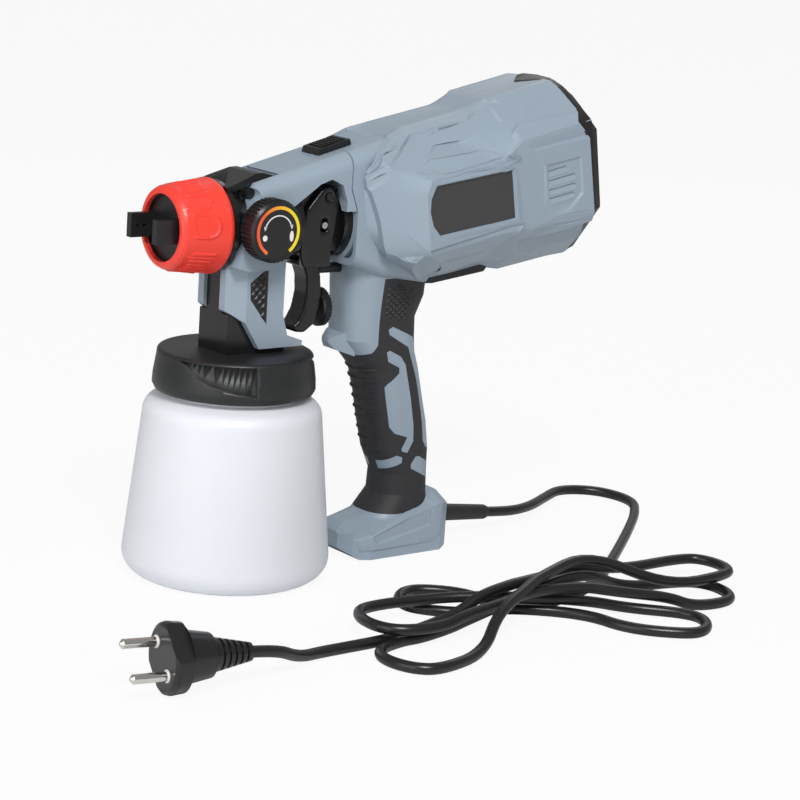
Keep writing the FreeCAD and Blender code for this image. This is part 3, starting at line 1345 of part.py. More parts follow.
def build_motor():
    keep(on_motor_axis(turned("motor_shaft", "X", [
        ("-47", "0"), ("-47", "shaft_radius"), ("44", "shaft_radius"), ("44", "0")])))
    stack = turned("rotor_stack", "X", [
        ("stator_front + 1", "shaft_radius"), ("stator_front + 1", "armature_radius"),
        ("stator_rear - 1", "armature_radius"), ("stator_rear - 1", "shaft_radius")])
    windings = turned("rotor_windings", "X", [
        ("stator_front - 2.5", "shaft_radius"), ("stator_front - 2.5", "11"),
        ("stator_front + 1.5", "15"), ("stator_rear - 1.5", "15"),
        ("stator_rear + 2.5", "11"), ("stator_rear + 2.5", "shaft_radius")])
    keep(on_motor_axis(joined("rotor_core", [stack, windings])))
    keep(on_motor_axis(turned("commutator", "X", [
        ("-39", "shaft_radius"), ("-39", "commutator_radius"),
        ("-33", "commutator_radius"), ("-33", "shaft_radius")])))
    keep(on_motor_axis(joined("impellers", [
        vane_ring("impeller_first", "first_impeller_place"),
        vane_ring("impeller_second", "second_impeller_place")])))

    laminations = turned("stator_stack", "X", [
        ("stator_front", "stator_bore_radius"), ("stator_front", "stator_radius"),
        ("stator_rear", "stator_radius"), ("stator_rear", "stator_bore_radius")])
    coils = turned("stator_coils", "X", [
        ("stator_front - 4", "19"), ("stator_front - 4", "23.8"),
        ("stator_rear + 4", "23.8"), ("stator_rear + 4", "19")])
    keep(on_motor_axis(joined("motor_stator", [laminations, coils])))

    bracket = turned("bracket_turning", "X", [
        ("-47", "bearing_bore_radius + 1"), ("-47", "stator_radius"),
        ("stator_front", "stator_radius"), ("stator_front", "24.5"), ("-44.5", "24.5"),
        ("-44.5", "bearing_radius + 2.5"), ("-40", "bearing_radius + 2.5"),
        ("-40", "bearing_radius"), ("-46.4", "bearing_radius"),
        ("-46.4", "bearing_bore_radius + 1")])
    keep(on_motor_axis(without("motor_bracket", bracket, port_ring(
        "bracket_port", 17.5, 5.0, "-50", "8", 8))))

    rings = []
    for name, start in (("front", "-46.3"), ("rear", "rear_bearing_place")):
        end = "(%s) + bearing_width" % start
        rings.append(turned("bearing_" + name, "X", [
            (start, "bearing_bore_radius"), (start, "bearing_radius"), (end, "bearing_radius"),
            (end, "bearing_bore_radius")]))
    keep(on_motor_axis(joined("shaft_bearings", rings)))

    keep(on_motor_axis(joined("brush_holders", [
        block("brush_near", "-38.5", "-33.5", "-24.1", "-9.8", "-3.5", "3.5"),
        block("brush_far", "-38.5", "-33.5", "9.8", "24.1", "-3.5", "3.5")])))

    keep(on_motor_axis(joined("motor_mounts", [
        turned("mount_front", "X", [
            ("-44", "stator_radius"), ("-44", "31.6"), ("-38", "31.6"),
            ("-38", "stator_radius")]),
        turned("mount_rear", "X", [
            ("20", "casing_radius"), ("20", "41.7"), ("26", "41.7"), ("26", "casing_radius")])])))

    inside = "casing_radius - casing_wall"
    casing = turned("casing_turning", "X", [
        ("stator_rear", "24"), ("stator_rear", "stator_radius"),
        ("casing_front", "stator_radius"), ("casing_front", "casing_radius"),
        ("casing_rear", "casing_radius"), ("casing_rear", "13"),
        ("casing_rear - casing_wall", "13"), ("casing_rear - casing_wall", inside),
        ("casing_front + casing_wall", inside), ("casing_front + casing_wall", "bearing_radius"),
        ("rear_bearing_place", "bearing_radius"), ("rear_bearing_place", "bearing_radius + 2.5"),
        ("casing_front", "bearing_radius + 2.5"), ("casing_front", "24")])
    keep(on_motor_axis(without("fan_casing", casing, port_ring(
        "casing_port", 17.3, 4.0, "5", "8", 8))))
    keep(on_motor_axis(turned("fan_divider", "X", [
        ("25", "14"), ("25", inside), ("27", inside), ("27", "14")])))
    keep(on_motor_axis(turned("air_duct", "X", [
        ("-75.5", "duct_front_radius"), ("-75.5", "duct_front_radius + duct_wall"),
        ("-47", "stator_radius"), ("-47", "stator_radius - duct_wall")])))


def port_ring(label, centre_radius, radius, start, length, count):
    """Round air ports in a ring about the motor axis, as one tool."""
    items = []
    for i in range(count):
        angle = 2 * math.pi * i / count
        items.append(cylinder_along(
            "%s_%d" % (label, i), "X", str(radius), start, length,
            across="%.4f" % (centre_radius * math.cos(angle)),
            height="%.4f" % (centre_radius * math.sin(angle))))
    return joined(label + "s", items)


# Electric parts in the handle, cord and plug

def clamp_cylinders(label, radius, start, length):
    """A pair of upright cylinders at the cord clamp's two screw places."""
    return [cylinder_along("%s_%s" % (label, name), "Z", radius, start, length,
                           across="128", height=side) for name, side in
            (("near", "-9"), ("far", "9"))]


def build_electrics():
    case = block("switch_case", "78", "100", "-9", "9", "155", "172.6")
    bore = cylinder_along("switch_bore", "X", "plunger_radius + 1.9", "77", "14",
                          height="plunger_height")
    pins = [block("switch_pin_front", "80", "82", "-1", "1", "150", "156"),
            block("switch_pin_rear", "96", "98", "-1", "1", "150", "156")]
    keep(without("switch_body", joined("switch_mass", [case] + pins), bore))
    keep(block("capacitor", "100.3", "110", "-6", "6", "157", "170"))
    bar = block("clamp_bar", "124", "132", "-13", "13", "cord_clamp_height",
                "cord_clamp_height + 3")
    keep(without("cord_clamp", bar, joined("clamp_holes", clamp_cylinders(
        "clamp_hole", "screw_radius", "cord_clamp_height - 1", "5"))))
    keep(joined("clamp_screws", clamp_cylinders(
        "clamp_screw", "screw_radius", "cord_clamp_height - 6", "9.1")
        + clamp_cylinders("clamp_head", "screw_head_radius", "cord_clamp_height + 3",
                          "screw_head_height")))

    relief = turned("strain_relief", "X", [
        ("-8.2", "cord_radius"), ("-8.2", "relief_radius + 2"), ("-5.4", "relief_radius + 2"),
        ("-5.4", "relief_radius"), ("0", "relief_radius"),
        ("relief_length - 2", "relief_radius - 0.8"),
        ("relief_length", "relief_tip_radius - 0.6"), ("relief_length", "cord_radius")])
    keep(place(relief, x="relief_place", z="relief_height", axis=Vector(0, 1, 0),
               angle="relief_drop"))


def build_plug():
    core = turned("plug_core", "X", [
        ("0", "0"), ("0", "plug_flange_radius - 2.4"), ("1.2", "plug_flange_radius - 0.5"),
        ("3", "plug_flange_radius"), ("plug_flange_thickness", "plug_flange_radius - 0.6"),
        ("plug_flange_thickness + 2", "plug_body_radius + 1.2"),
        ("plug_body_length - 2", "plug_body_radius - 1"),
        ("plug_body_length", "plug_body_radius - 3.4"),
        ("plug_length", "plug_tip_radius"), ("plug_length", "cord_radius"),
        ("plug_length - 8", "cord_radius"), ("plug_length - 8", "0")])
    pins = []
    cuts = []
    for i in range(5):
        start = 28.2 + 3.5 * i
        slope = (8.6 - 4.6) / 20.0
        outer = 8.6 - slope * (start - 26.0)
        cuts.append(turned("plug_ring_%d" % i, "X", [
            ("%.2f" % start, "%.2f" % (outer - 1.0)), ("%.2f" % start, "14"),
            ("%.2f" % (start + 1.3), "14"), ("%.2f" % (start + 1.3), "%.2f" % (outer - 1.3))]))
    flat = [block("plug_flat_low", "-1", "plug_flange_thickness + 0.5", "-30", "30", "-30", "-13.6"),
            block("plug_flat_high", "-1", "plug_flange_thickness + 0.5", "-30", "30", "13.6", "30")]
    for side in (-1, 1):
        spot = "%s * pin_pitch / 2" % ("-1" if side < 0 else "1")
        cuts.append(cylinder_along("pin_socket_%d" % (side + 1), "X", "pin_shank_radius", "-1",
                                   "9", across=spot))
    body = without("plug_body", core, joined("plug_cuts", cuts + flat))
    keep(on_plug(body))
    for side in (-1, 1):
        spot = "%s * pin_pitch / 2" % ("-1" if side < 0 else "1")
        pin = turned("plug_pin_%d" % (side + 1), "X", [
            ("-pin_length", "0"), ("-pin_length", "pin_radius - 1.4"),
            ("-pin_length + 1.4", "pin_radius"), ("0", "pin_radius"),
            ("0", "pin_shank_radius"), ("7.9", "pin_shank_radius"), ("7.9", "0")])
        pins.append(place(pin, y=spot))
    keep(on_plug(joined("plug_pins", pins)))


def on_plug(item):
    """Lay an object drawn along X from the plug's face onto the plug's own axis."""
    turn = (Rotation(Vector(0, 0, 1), number("plug_turn"))
            * Rotation(Vector(0, 1, 0), number("plug_dip"))
            * Rotation(Vector(1, 0, 0), number("plug_roll")))
    item.Placement = Placement(Vector(0, 0, 0), turn)
    for letter, text in zip("xyz", ("plug_place", "plug_side", "plug_flange_radius")):
        item.setExpression("Placement.Base." + letter, bound(text))
    doc.recompute()
    return item


# The cord: inner lead, free lead, hank of three loops and tail, each one round tube

WAIST = (108.0, -142.0)
# loops in the order the cord runs through them: name, middle, radius and height
LOOPS = [("left_first", (66.0, -102.0), 18.0, 3.0), ("right_first", (160.0, -190.0), 18.0, 3.0),
         ("left_second", (20.0, -133.0), 21.0, 9.8), ("right_second", (207.0, -157.0), 20.0, 3.0),
         ("left_third", (5.0, -170.0), 20.0, 3.0), ("right_third", (226.0, -139.0), 18.0, 9.8)]
# where each strand passes the waist: side place and height
WAIST_SLOTS = [(-132.3, 3.0), (-142.0, 3.0), (-142.0, 9.8), (-149.8, 17.0), (-142.0, 16.8),
               (-145.8, 24.9), (-134.4, 18.2)]
# further points on the way into and out of some loops
WAY_IN = {"left_third": [(62.0, -145.6, 8.4), (30.0, -149.4, 4.4)],
          "right_second": [(163.0, -165.6, 10.8)]}
WAY_OUT = {"left_third": [(80.0, -157.0, 21.0)], "left_second": [(60.0, -152.4, 13.8)]}
TAIL_WAY = [(84.0, -136.4, 17.2), (36.0, -139.6, 5.2)]
HANK_START = (140.0, -131.5, 3.0)
HANK_END = (-20.0, -143.5, 3.0)


def hank_nodes():
    """Points and directions of the hank, from the free lead to the tail."""
    spots = [(Vector(*HANK_START), Vector(-1, -0.05, 0))]
    for (name, middle, radius, level), slot in zip(LOOPS, WAIST_SLOTS):
        centre = Vector(middle[0], middle[1], level)
        out = Vector(middle[0] - WAIST[0], middle[1] - WAIST[1], 0).normalize()
        far = Vector(-out.y, out.x, 0)
        if far.y < 0:
            far = far * -1
        first = far if name.startswith("left") else far * -1
        spots.append((Vector(WAIST[0], slot[0], slot[1]), None))
        for spot in WAY_IN.get(name, []):
            spots.append((Vector(*spot), None))
        spots.append((centre + first * radius, out))
        spots.append((centre + out * radius, first * -1))
        spots.append((centre - first * radius, out * -1))
        for spot in WAY_OUT.get(name, []):
            spots.append((Vector(*spot), None))
    spots.append((Vector(WAIST[0], WAIST_SLOTS[-1][0], WAIST_SLOTS[-1][1]), None))
    for spot in TAIL_WAY:
        spots.append((Vector(*spot), None))
    spots.append((Vector(*HANK_END), Vector(-1, 0, 0)))
    nodes = []
    for i, (spot, heading) in enumerate(spots):
        if heading is None:
            before = spot - spots[i - 1][0]
            after = spots[i + 1][0] - spot
            weighted = (before.normalize() * spots[i + 1][0].distanceToPoint(spot)
                        + after.normalize() * spots[i - 1][0].distanceToPoint(spot))
            heading = weighted
        nodes.append((spot, Vector(heading).normalize()))
    return nodes


def self_gap(path, radius, apart=20.0, step=1.5):
    """The least clear distance between parts of a path that are well apart along it."""
    count = int(path.Length / step)
    spots = path.discretize(Number=count)
    stride = path.Length / (count - 1)
    least = path.Length
    for i, a in enumerate(spots):
        for j in range(i + int(apart / stride), len(spots)):
            b = spots[j]
            if abs(a.x - b.x) < least and abs(a.y - b.y) < least:
                least = min(least, a.distanceToPoint(b))
    return least - 2 * radius


def report_tube(name, shape, length, radii=()):
    section = math.pi * number("cord_radius") ** 2
    print("%s: length %.1f, volume %.1f against %.1f" % (name, length, shape.Volume,
                                                       section * length))
    if radii:
        print("  arc radii " + ", ".join("%.1f" % r for r in radii))


def build_cord():
    radius = number("cord_radius")
    drop = math.radians(number("relief_drop"))
    tip = Vector(number("relief_place + relief_length * cos(relief_drop * 1 deg)"), 0,
                 number("relief_height - relief_length * sin(relief_drop * 1 deg)"))
    sleeve_start = Vector(number("relief_place"), 0, number("relief_height"))
    routes = {
        "inner_lead": [tip, sleeve_start + Vector(-15, 0, 15 * math.tan(drop)),
                       Vector(122, 0, 18.3), Vector(112.5, 0, 34), Vector(111.5, 0, 60),
                       Vector(98, 0, 104), Vector(89.2, 0, 130), Vector(89, 0, 154.8)],
        "cord_lead": [tip, tip + Vector(10, 0, -10 * math.tan(drop)), Vector(212, 1.5, 8.7),
                      Vector(231, 8.5, 7.5), Vector(256, 24, 6),
                      Vector(281, 38.5, 4.8), Vector(305.7, 27.5, 3.8), Vector(311.3, 1.1, 3),
                      Vector(291.2, -21.2, 3), Vector(266, -43, 3), Vector(238, -66, 3),
                      Vector(204, -93, 3), Vector(172, -117, 3), Vector(*HANK_START)],
        "cord_tail": [Vector(*HANK_END), Vector(-38, -143.5, 3), Vector(-57, -150.5, 5.5)]}
    turn = (Rotation(Vector(0, 0, 1), number("plug_turn"))
            * Rotation(Vector(0, 1, 0), number("plug_dip")))
    plug_base = Vector(number("plug_place"), number("plug_side"), number("plug_flange_radius"))
    for along in ("plug_length + 14", "plug_length - 8"):
        routes["cord_tail"].append(plug_base + turn.multVec(Vector(number(along), 0, 0)))
    for name, points in routes.items():
        radii = route_radii(points)
        shape, length = tube_shape(points, radii, radius)
        report_tube(name, shape, length, radii)
        keep(fixed_shape(name, shape))
    shape, length, path = biarc_tube(hank_nodes(), radius)
    report_tube("cord_hank", shape, length)
    print("  least self gap %.2f" % self_gap(path, radius))
    keep(fixed_shape("cord_hank", shape))


def finish():
    """Check every object, then write each finished piece."""
    doc.recompute()
    for item in doc.Objects:
        if any(word in item.State for word in ("Invalid", "Error")):
            raise RuntimeError("bad state: " + item.Label)
    os.makedirs("parts", exist_ok=True)
    for item in NODES:
        shape = item.Shape
        if shape.isNull() or not shape.isValid():
            raise RuntimeError("bad shape: " + item.Label)
        shape.exportStep("parts/%s.step" % item.Label)
        box = shape.BoundBox
        print("%-18s solids %d  x %.1f..%.1f  y %.1f..%.1f  z %.1f..%.1f" % (
            item.Label, len(shape.Solids), box.XMin, box.XMax, box.YMin, box.YMax,
            box.ZMin, box.ZMax))
    print("%d pieces" % len(NODES))


def main():
    build_container()
    build_lid()
    build_suction_tube()
    build_head_core()
    build_nozzle_group()
    build_needle_group()
    build_trigger_group()
    build_flow_wheel()
    build_head_covers()
    build_hood()
    build_latch()
    build_housing()
    build_rear_cover()
    build_motor()
    build_electrics()
    build_plug()
    build_screws()
    build_cord()
    finish()


main()
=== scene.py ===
"""Corded turbine spray gun: the finish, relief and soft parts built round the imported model."""
import json
import math

import bmesh
import bpy
from bpy.props import FloatProperty, FloatVectorProperty, IntProperty, PointerProperty
from bpy.types import Operator, Panel, PropertyGroup
from mathutils import Matrix, Vector
from mathutils.bvhtree import BVHTree
from mathutils.geometry import delaunay_2d_cdt

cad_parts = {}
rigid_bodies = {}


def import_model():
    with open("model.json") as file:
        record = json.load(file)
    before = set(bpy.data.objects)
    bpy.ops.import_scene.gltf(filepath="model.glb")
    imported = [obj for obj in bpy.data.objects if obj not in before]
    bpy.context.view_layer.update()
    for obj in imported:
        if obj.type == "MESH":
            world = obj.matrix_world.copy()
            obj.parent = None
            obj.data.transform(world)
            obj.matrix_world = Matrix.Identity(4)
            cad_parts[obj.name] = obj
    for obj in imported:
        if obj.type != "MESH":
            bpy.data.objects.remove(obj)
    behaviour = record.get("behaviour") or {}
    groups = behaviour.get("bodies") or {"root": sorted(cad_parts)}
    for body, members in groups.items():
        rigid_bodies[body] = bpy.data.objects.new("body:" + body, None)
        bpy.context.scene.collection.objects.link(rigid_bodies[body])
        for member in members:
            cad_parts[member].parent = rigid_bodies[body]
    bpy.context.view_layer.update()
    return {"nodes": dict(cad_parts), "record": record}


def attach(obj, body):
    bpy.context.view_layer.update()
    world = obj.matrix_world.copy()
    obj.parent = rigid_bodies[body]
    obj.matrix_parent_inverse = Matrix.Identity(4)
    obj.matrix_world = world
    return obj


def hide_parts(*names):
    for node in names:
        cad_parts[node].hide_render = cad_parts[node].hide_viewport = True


bl_info = {
    "name": "Turbine spray gun",
    "version": (1, 0, 0),
    "blender": (4, 5, 0),
    "location": "View3D > Sidebar > Spray gun",
    "description": "Builds a corded turbine spray gun with its container, cord and plug",
    "category": "Object",
}

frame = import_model()
MM = 0.001

# Camera: where it stands, how it is turned and how long its lens is
CAMERA_AZIMUTH = math.radians(-38.66)
CAMERA_ELEVATION = math.radians(12.94)
CAMERA_ROLL = math.radians(3.92)
CAMERA_DISTANCE = 1.3778
CAMERA_TARGET = Vector((0.116, 0.0, 0.0862))
LENS_PER_SENSOR = 3.0
SENSOR_WIDTH = 36.0

# How much of the floor is plain white to the camera, and the lamps' aim, places, sizes and powers
FLOOR_WHITE_SHARE = 0.92
LAMP_AIM = Vector((0.1, 0.0, 0.12))
LAMPS = [("key", (-0.7, -1.5, 1.8), 0.7, 36.0), ("fill", (-1.5, -0.4, 0.5), 1.2, 9.0),
         ("rim", (1.3, 0.9, 1.3), 1.0, 4.0)]

# Motor housing: its axis leans back, and its sections are rounded rectangles across it
HOUSING_MIDDLE = Vector((150.0, 0.0, 210.0))
HOUSING_LEAN = math.radians(10.0)
ALONG = Vector((math.cos(HOUSING_LEAN), 0.0, math.sin(HOUSING_LEAN)))
UPWARD = Vector((-math.sin(HOUSING_LEAN), 0.0, math.cos(HOUSING_LEAN)))
# place along the axis, half width, top and bottom, in millimetres
HOUSING_SIZES = [
    (-88, 22, 22, -8), (-76, 35, 34, -20), (-62, 46.4, 41.5, -33), (-52, 46.4, 44, -41),
    (-6, 46.4, 45.2, -44.5), (7, 46.4, 49.3, -48.5), (60, 46, 51.5, -50),
    (66, 43.5, 49.5, -48.5), (72, 37, 43, -42)]
# place along the axis, then the slanted facets' heights: at the middle, at the bend and at the
# reach of the upper ones, at the reach and at the middle of the lower one
FACET_PLANES = [
    (-100, 52.9, 35.5, 16.6, -15.9, -59.4), (-6, 55.4, 38, 19.1, -15.9, -59.4),
    (7, 54.1, 45.6, 26.9, -16.9, -67.9), (60, 56.3, 47.8, 29.1, -16.9, -67.9),
    (66, 53.5, 42.5, 18.7, -13.5, -68), (74, 44.2, 32.5, 8.7, -4.5, -58)]
SIDE_BEND = 24.0
SIDE_REACH = 50.0
# nominal lengths round half a section to each of its corners
CORNER_LINES = [0.0, 14.0, 26.0, 52.0, 94.0, 130.0, 150.0]
HALF_GIRTH = CORNER_LINES[-1]
# where the black band behind the housing ends
TRIM_END = 60.4
# how far the facet skins reach under the housing's surface
SKIN_DEPTH = 1.3

# The nameplate and the frame round it: place along the axis and height, in millimetres
PLATE_OUTLINE = [(-54.6, 17.5), (0, 15.7), (0.3, -12.7), (-54, -11), (-58.6, -4), (-60, 4),
                 (-58.8, 11)]
FRAME_OUTLINE = [(-57.5, 19.6), (2.2, 17.9), (2.9, -15.2), (-55.6, -13.6), (-61.8, -4.4),
                 (-63.2, 4.4), (-61.6, 12.6)]

# The facet skins' ends and the larger slopes: place along the axis and place round half a section
FRONT_OUTLINE = [(-68, 0), (-64.5, 13.5), (-70.5, 12.8), (-76.5, 12.4), (-80.5, 12.6),
                 (-84.5, 13.4), (-86.5, 30), (-86, 57), (-84, 64.5), (-82.5, 71), (-81, 77),
                 (-81.5, 82.5), (-82, 89), (-82.5, 96), (-80.5, 122), (-75.5, 137), (-69.5, 145),
                 (-66, 150)]
REAR_OUTLINE = [(44.5, 0), (56, 11.6), (54, 16), (55.5, 25.5), (55.5, 43), (50, 51.5),
                (56.5, 57.5), (57.5, 97), (55.6, 99.8), (58, 112), (58.6, 150)]
FLANK = [(-70, 100), (-53.5, 103.6), (-9, 103.6), (-8.5, 120.5), (-45.5, 130.5), (-67, 136),
         (-76, 136.5), (-86, 100)]
REAR_FLANK = [(-9, 103.6), (3, 104.5), (20, 114.5), (80, 111), (80, 150), (-8.5, 150)]
HOLLOW = [(-50, 27), (-19, 30), (-4, 25), (40, 24), (44, 38), (11, 39), (-1, 44), (-14, 40),
          (-51, 37), (-60, 44), (-66, 46)]

# The handle's middle at some heights, by height and place, in millimetres
HANDLE_MIDDLES = [(12, 112), (22, 113), (34, 117), (46, 117), (60, 113.5), (76, 110), (92, 106),
                  (108, 101.5), (117, 96), (126, 92), (138, 91.5), (150, 94), (168, 94)]
# Finger ridges: how far back each one reaches, and its height; then the patch of fine diamonds
GRIP_GROOVES = [(88.4, 110.2), (89.7, 103.9), (90.7, 97.7), (91.7, 91.4), (92.6, 85.2),
                (93.4, 79.9), (94.5, 73.3), (95.5, 67.8), (96.5, 62.3), (98.2, 56.0)]
GRIP_PATCH = [(87, 143.2), (87.6, 155.7), (91, 160.1), (107.5, 154.5), (106.4, 148.8),
              (102.5, 136.5), (88.3, 138.6)]

# The nozzle's axis, the flow wheel's middle, face, print and grip ribs, and the volume knob
NOZZLE_HEIGHT = 193.5
WHEEL_MIDDLE = (-2.0, 195.0)
WHEEL_FACE = -36.5
PRINT_HEIGHT = 0.16
WHEEL_RADIUS = 16.1
WHEEL_RIB_PLACE = -30.4
KNOB_MIDDLE = (53.75, 0.0, 145.0)
KNOB_RADIUS = 10.15
# How the trigger's edges are rounded: the size of its voxels, in metres, and the smoothing rounds
TRIGGER_VOXEL = 0.0006
TRIGGER_ROUNDS = 24

# The red ring's raised loops and ridges by place and angle: one third of them, repeated round it
RING_LINES = [
    [(-44.7, 25.7), (-35.6, 22.9), (-31.6, 18.0), (-30.2, 11.6), (-30.4, 3.3), (-32.2, -2.5),
     (-36.1, -6.0), (-43.9, -4.7)],
    [(-45.9, 47.6), (-37.9, 44.7), (-32.6, 40.5)],
    [(-47.2, 34.7), (-38.9, 30.3), (-34.5, 31.5)]]
RING_RIDGES = [(55, -45, -32), (63, -44.5, -32), (71, -44, -33), (79, -44.5, -32),
               (87, -45, -32), (-28.6, -44, -30), (-35.5, -46, -30)]

# The hood and the latch plate, by x and z in millimetres
HOOD_RECESS = [(-19.6, 206), (-19.6, 212.2), (-3.5, 217.6), (5.0, 218.2), (9.0, 217.6),
               (1.6, 209.6), (-1.2, 206)]
HOOD_SLOT = [(-1.0, 209.0), (0.8, 216.4), (5.0, 217.4), (7.8, 216.8), (1.2, 209.4)]
HOOD_CROWN = [(-26, 213.9), (-1.5, 222.3), (3.0, 222.6), (14, 219.9), (14, 236), (-26, 236)]
HOOD_BOSS = [(-12.5, 209.2), (-13.2, 212.4), (-10.8, 216.2), (-5.2, 216.6), (-2.6, 213.0),
             (-4.6, 209.4)]
LATCH_TOP = 222.7
LATCH_SLOPE = 0.257
# The diamonds' patch on the neck's inserts
NECK_INSERT = [(6.1, 172.3), (-5, 164.5), (-4.5, 155.6), (6.4, 141.8)]

# The lid: a ramp by angle and height, its wall's radius and taper, and the ramp's depth
LID_RAMP = [(-168.5, 123.6), (-161.6, 121.8), (-151.7, 116.7), (-142.5, 113.4),
            (-133.4, 111.6), (-121, 109.4), (-107.8, 108.2), (-107.9, 123.6)]
LID_FOOT = 103.3
LID_RADIUS = 44.2
LID_TAPER = 1.9 / 21.9
LID_CUT = 1.3

# The foot's side and its sunk panel by x and z, and the rail by s and height
FOOT_OUTLINE = [(76, 11.5), (84, 14.6), (118, 27.6), (128.5, 31.5), (135, 26), (136, 9),
                (130, 5.5), (80, 4.5)]
FOOT_PANEL = [(86.7, 13.3), (120.7, 24.4), (124.9, 26.9), (126.8, 16.1), (89.8, 9.5)]
RAIL_OUTLINE = [(-56, -38), (-1, -41), (-0.2, -45.6), (-2.5, -47.9), (-40, -46.2),
                (-56, -42.5)]

# The plug's place, and its turns about Z, Y and X in degrees
PLUG_PLACE = Vector((-136.7, -151.2, 17.7))
PLUG_TURNS = (("Z", -8), ("Y", 2), ("X", 41))
PIN_PITCH = 19.0

# The cord's route from the strain relief, through its loops, to the plug, in millimetres
CORD_ROUTE = [
    (186.97, 0, 11.21), (196.97, 0, 10.11), (212, 1.5, 8.7), (231, 8.5, 7.5), (256, 24, 6),
    (281, 38.5, 4.8), (305.7, 27.5, 3.8), (311.3, 1.1, 3), (291.2, -21.2, 3), (266, -43, 3),
    (238, -66, 3), (204, -93, 3), (172, -117, 3), (140, -131.5, 3), (129.3, -132, 3),
    (118.1, -135.9, 3), (91.5, -126.4, 3), (91.1, -101, 3), (72.3, -83.1, 3), (58.8, -83.4, 3),
    (47.1, -95.7, 3), (47.4, -109.2, 3), (68.2, -129, 3), (92.5, -128.9, 3),
    (126.6, -157.7, 3), (129.9, -186.7, 3), (154, -209, 3), (167.5, -208.4, 3),
    (179, -196, 3), (178.4, -182.5, 3), (154.2, -160.2, 3), (130.2, -152, 8.5),
    (80.4, -129.5, 11.4), (52.3, -115.2, 9.8), (12.3, -111.1, 9.8), (0.1, -121, 9.8),
    (-1.9, -140.7, 9.8), (8, -152.9, 9.8), (31.9, -155.3, 9.8), (45.9, -153, 12.7),
    (76, -151.7, 15.1), (92, -148.2, 17.2), (127.1, -151.7, 16.7), (144.7, -160.5, 13.7),
    (176.7, -169.4, 8.6), (189.8, -174.6, 3), (213.3, -178.2, 3), (225.4, -169.3, 3),
    (228.2, -150.7, 3), (219.3, -138.6, 3), (176, -132.1, 3), (142.1, -139.7, 19.6),
    (92.5, -143.1, 15.5), (77.4, -144, 10.7), (51.3, -146.7, 6.8), (40.8, -148.5, 5.3),
    (20, -150.2, 3.6), (9.5, -148.1, 3), (-9.3, -153.2, 3), (-16.8, -166.1, 3),
    (-11.8, -184.3, 3), (1.1, -191.8, 3), (35.6, -182.4, 3), (56, -167, 16.9),
    (89.2, -153.1, 22.6), (98.3, -148.7, 24.1), (146.2, -134.5, 28), (186.5, -158, 9.8),
    (234.9, -156.8, 9.8), (244.2, -147, 9.8), (243.8, -130.1, 9.8), (234, -120.8, 9.8),
    (186, -122, 9.8), (147.4, -130.9, 19.1), (100, -135.1, 18), (92, -135.8, 18.1),
    (67.6, -137.7, 15.4), (52.3, -138.5, 7.6), (17.5, -140.9, 3), (-1.3, -143.5, 3),
    (-20, -143.5, 3), (-38, -143.5, 3), (-57, -150.5, 5.5), (-77.32, -159.55, 15.61),
    (-99.09, -156.49, 16.37)]
# The lead inside the handle, from the strain relief up to the switch
LEAD_ROUTE = [(186.97, 0, 11.21), (134, 0, 17.06), (122, 0, 18.3), (112.5, 0, 34),
              (111.5, 0, 60), (98, 0, 104), (89.2, 0, 130), (89, 0, 154.8)]
# half its thickness, in metres
LEAD_RADIUS = 0.003

# Nodes whose finish differs from their slot's. The trigger pin's gloss black is painted shade: it
# stands in for the shade inside the recessed pivot hole, not the steel of its slot.
FINER_FINISHES = {
    "front_hood": "gloss_black", "trigger": "gloss_black", "air_cap": "black_plastic",
    "volume_knob": "black_plastic", "head_core": "gloss_black", "plug_body": "cord_sheath",
    "head_screws": "gloss_black", "trigger_pin": "gloss_black", "container_lid": "lid_plastic"}

SIDES = ((-1, "left"), (1, "right"))
GROUPS = {}
FINISH = {}


class GunSizes(PropertyGroup):
    relief: FloatProperty(
        name="Housing relief", default=1.0, min=0.0, max=1.5,
        description="How strongly the housing's facets stand out, as a share of their own height")
    cord_radius: FloatProperty(
        name="Cord radius", default=0.003, min=0.002, max=0.005, unit="LENGTH",
        description="Half the cord's thickness")
    wheel_ribs: IntProperty(
        name="Wheel ribs", default=44, min=12, max=90,
        description="Number of grip ribs round the flow wheel")
    knob_ribs: IntProperty(
        name="Knob ribs", default=32, min=12, max=60,
        description="Number of grip ribs round the volume knob")
    floor_size: FloatProperty(
        name="Floor size", default=60.0, min=2.0, unit="LENGTH",
        description="Side of the square floor")


class GunColours(PropertyGroup):
    housing: FloatVectorProperty(
        name="Housing", subtype="COLOR", size=3, default=(0.30, 0.37, 0.44), min=0, max=1,
        description="Blue-grey plastic of the housing and head covers")
    ring: FloatVectorProperty(
        name="Nozzle ring", subtype="COLOR", size=3, default=(0.9, 0.05, 0.03), min=0, max=1,
        description="Red plastic of the ring that holds the air cap")
    container: FloatVectorProperty(
        name="Container", subtype="COLOR", size=3, default=(0.84, 0.87, 0.96), min=0, max=1,
        description="Milky plastic of the paint container")


def settings():
    return bpy.context.scene.spray_gun_sizes


def colours():
    return bpy.context.scene.spray_gun_colours


# Shader node groups shared by the materials

def new_group(name, inputs, outputs):
    """A shader group from its inputs' names and values and its outputs' names."""
    group = bpy.data.node_groups.new(name, "ShaderNodeTree")
    for label, value in inputs.items():
        kind = "NodeSocketFloat" if isinstance(value, float) else "NodeSocketVector"
        socket = group.interface.new_socket(label, in_out="INPUT", socket_type=kind)
        socket.default_value = value
    for label in outputs:
        group.interface.new_socket(label, in_out="OUTPUT", socket_type="NodeSocketFloat")
    return group, group.nodes.new("NodeGroupInput"), group.nodes.new("NodeGroupOutput")


def preset(item, **values):
    """Set a node's sockets and settings by name, with underscores for spaces."""
    for key, value in values.items():
        label = key.replace("_", " ")
        if label in item.inputs:
            item.inputs[label].default_value = value
        else:
            setattr(item, key, value)
    return item


def node(tree, kind, **values):
    return preset(tree.nodes.new(kind), **values)


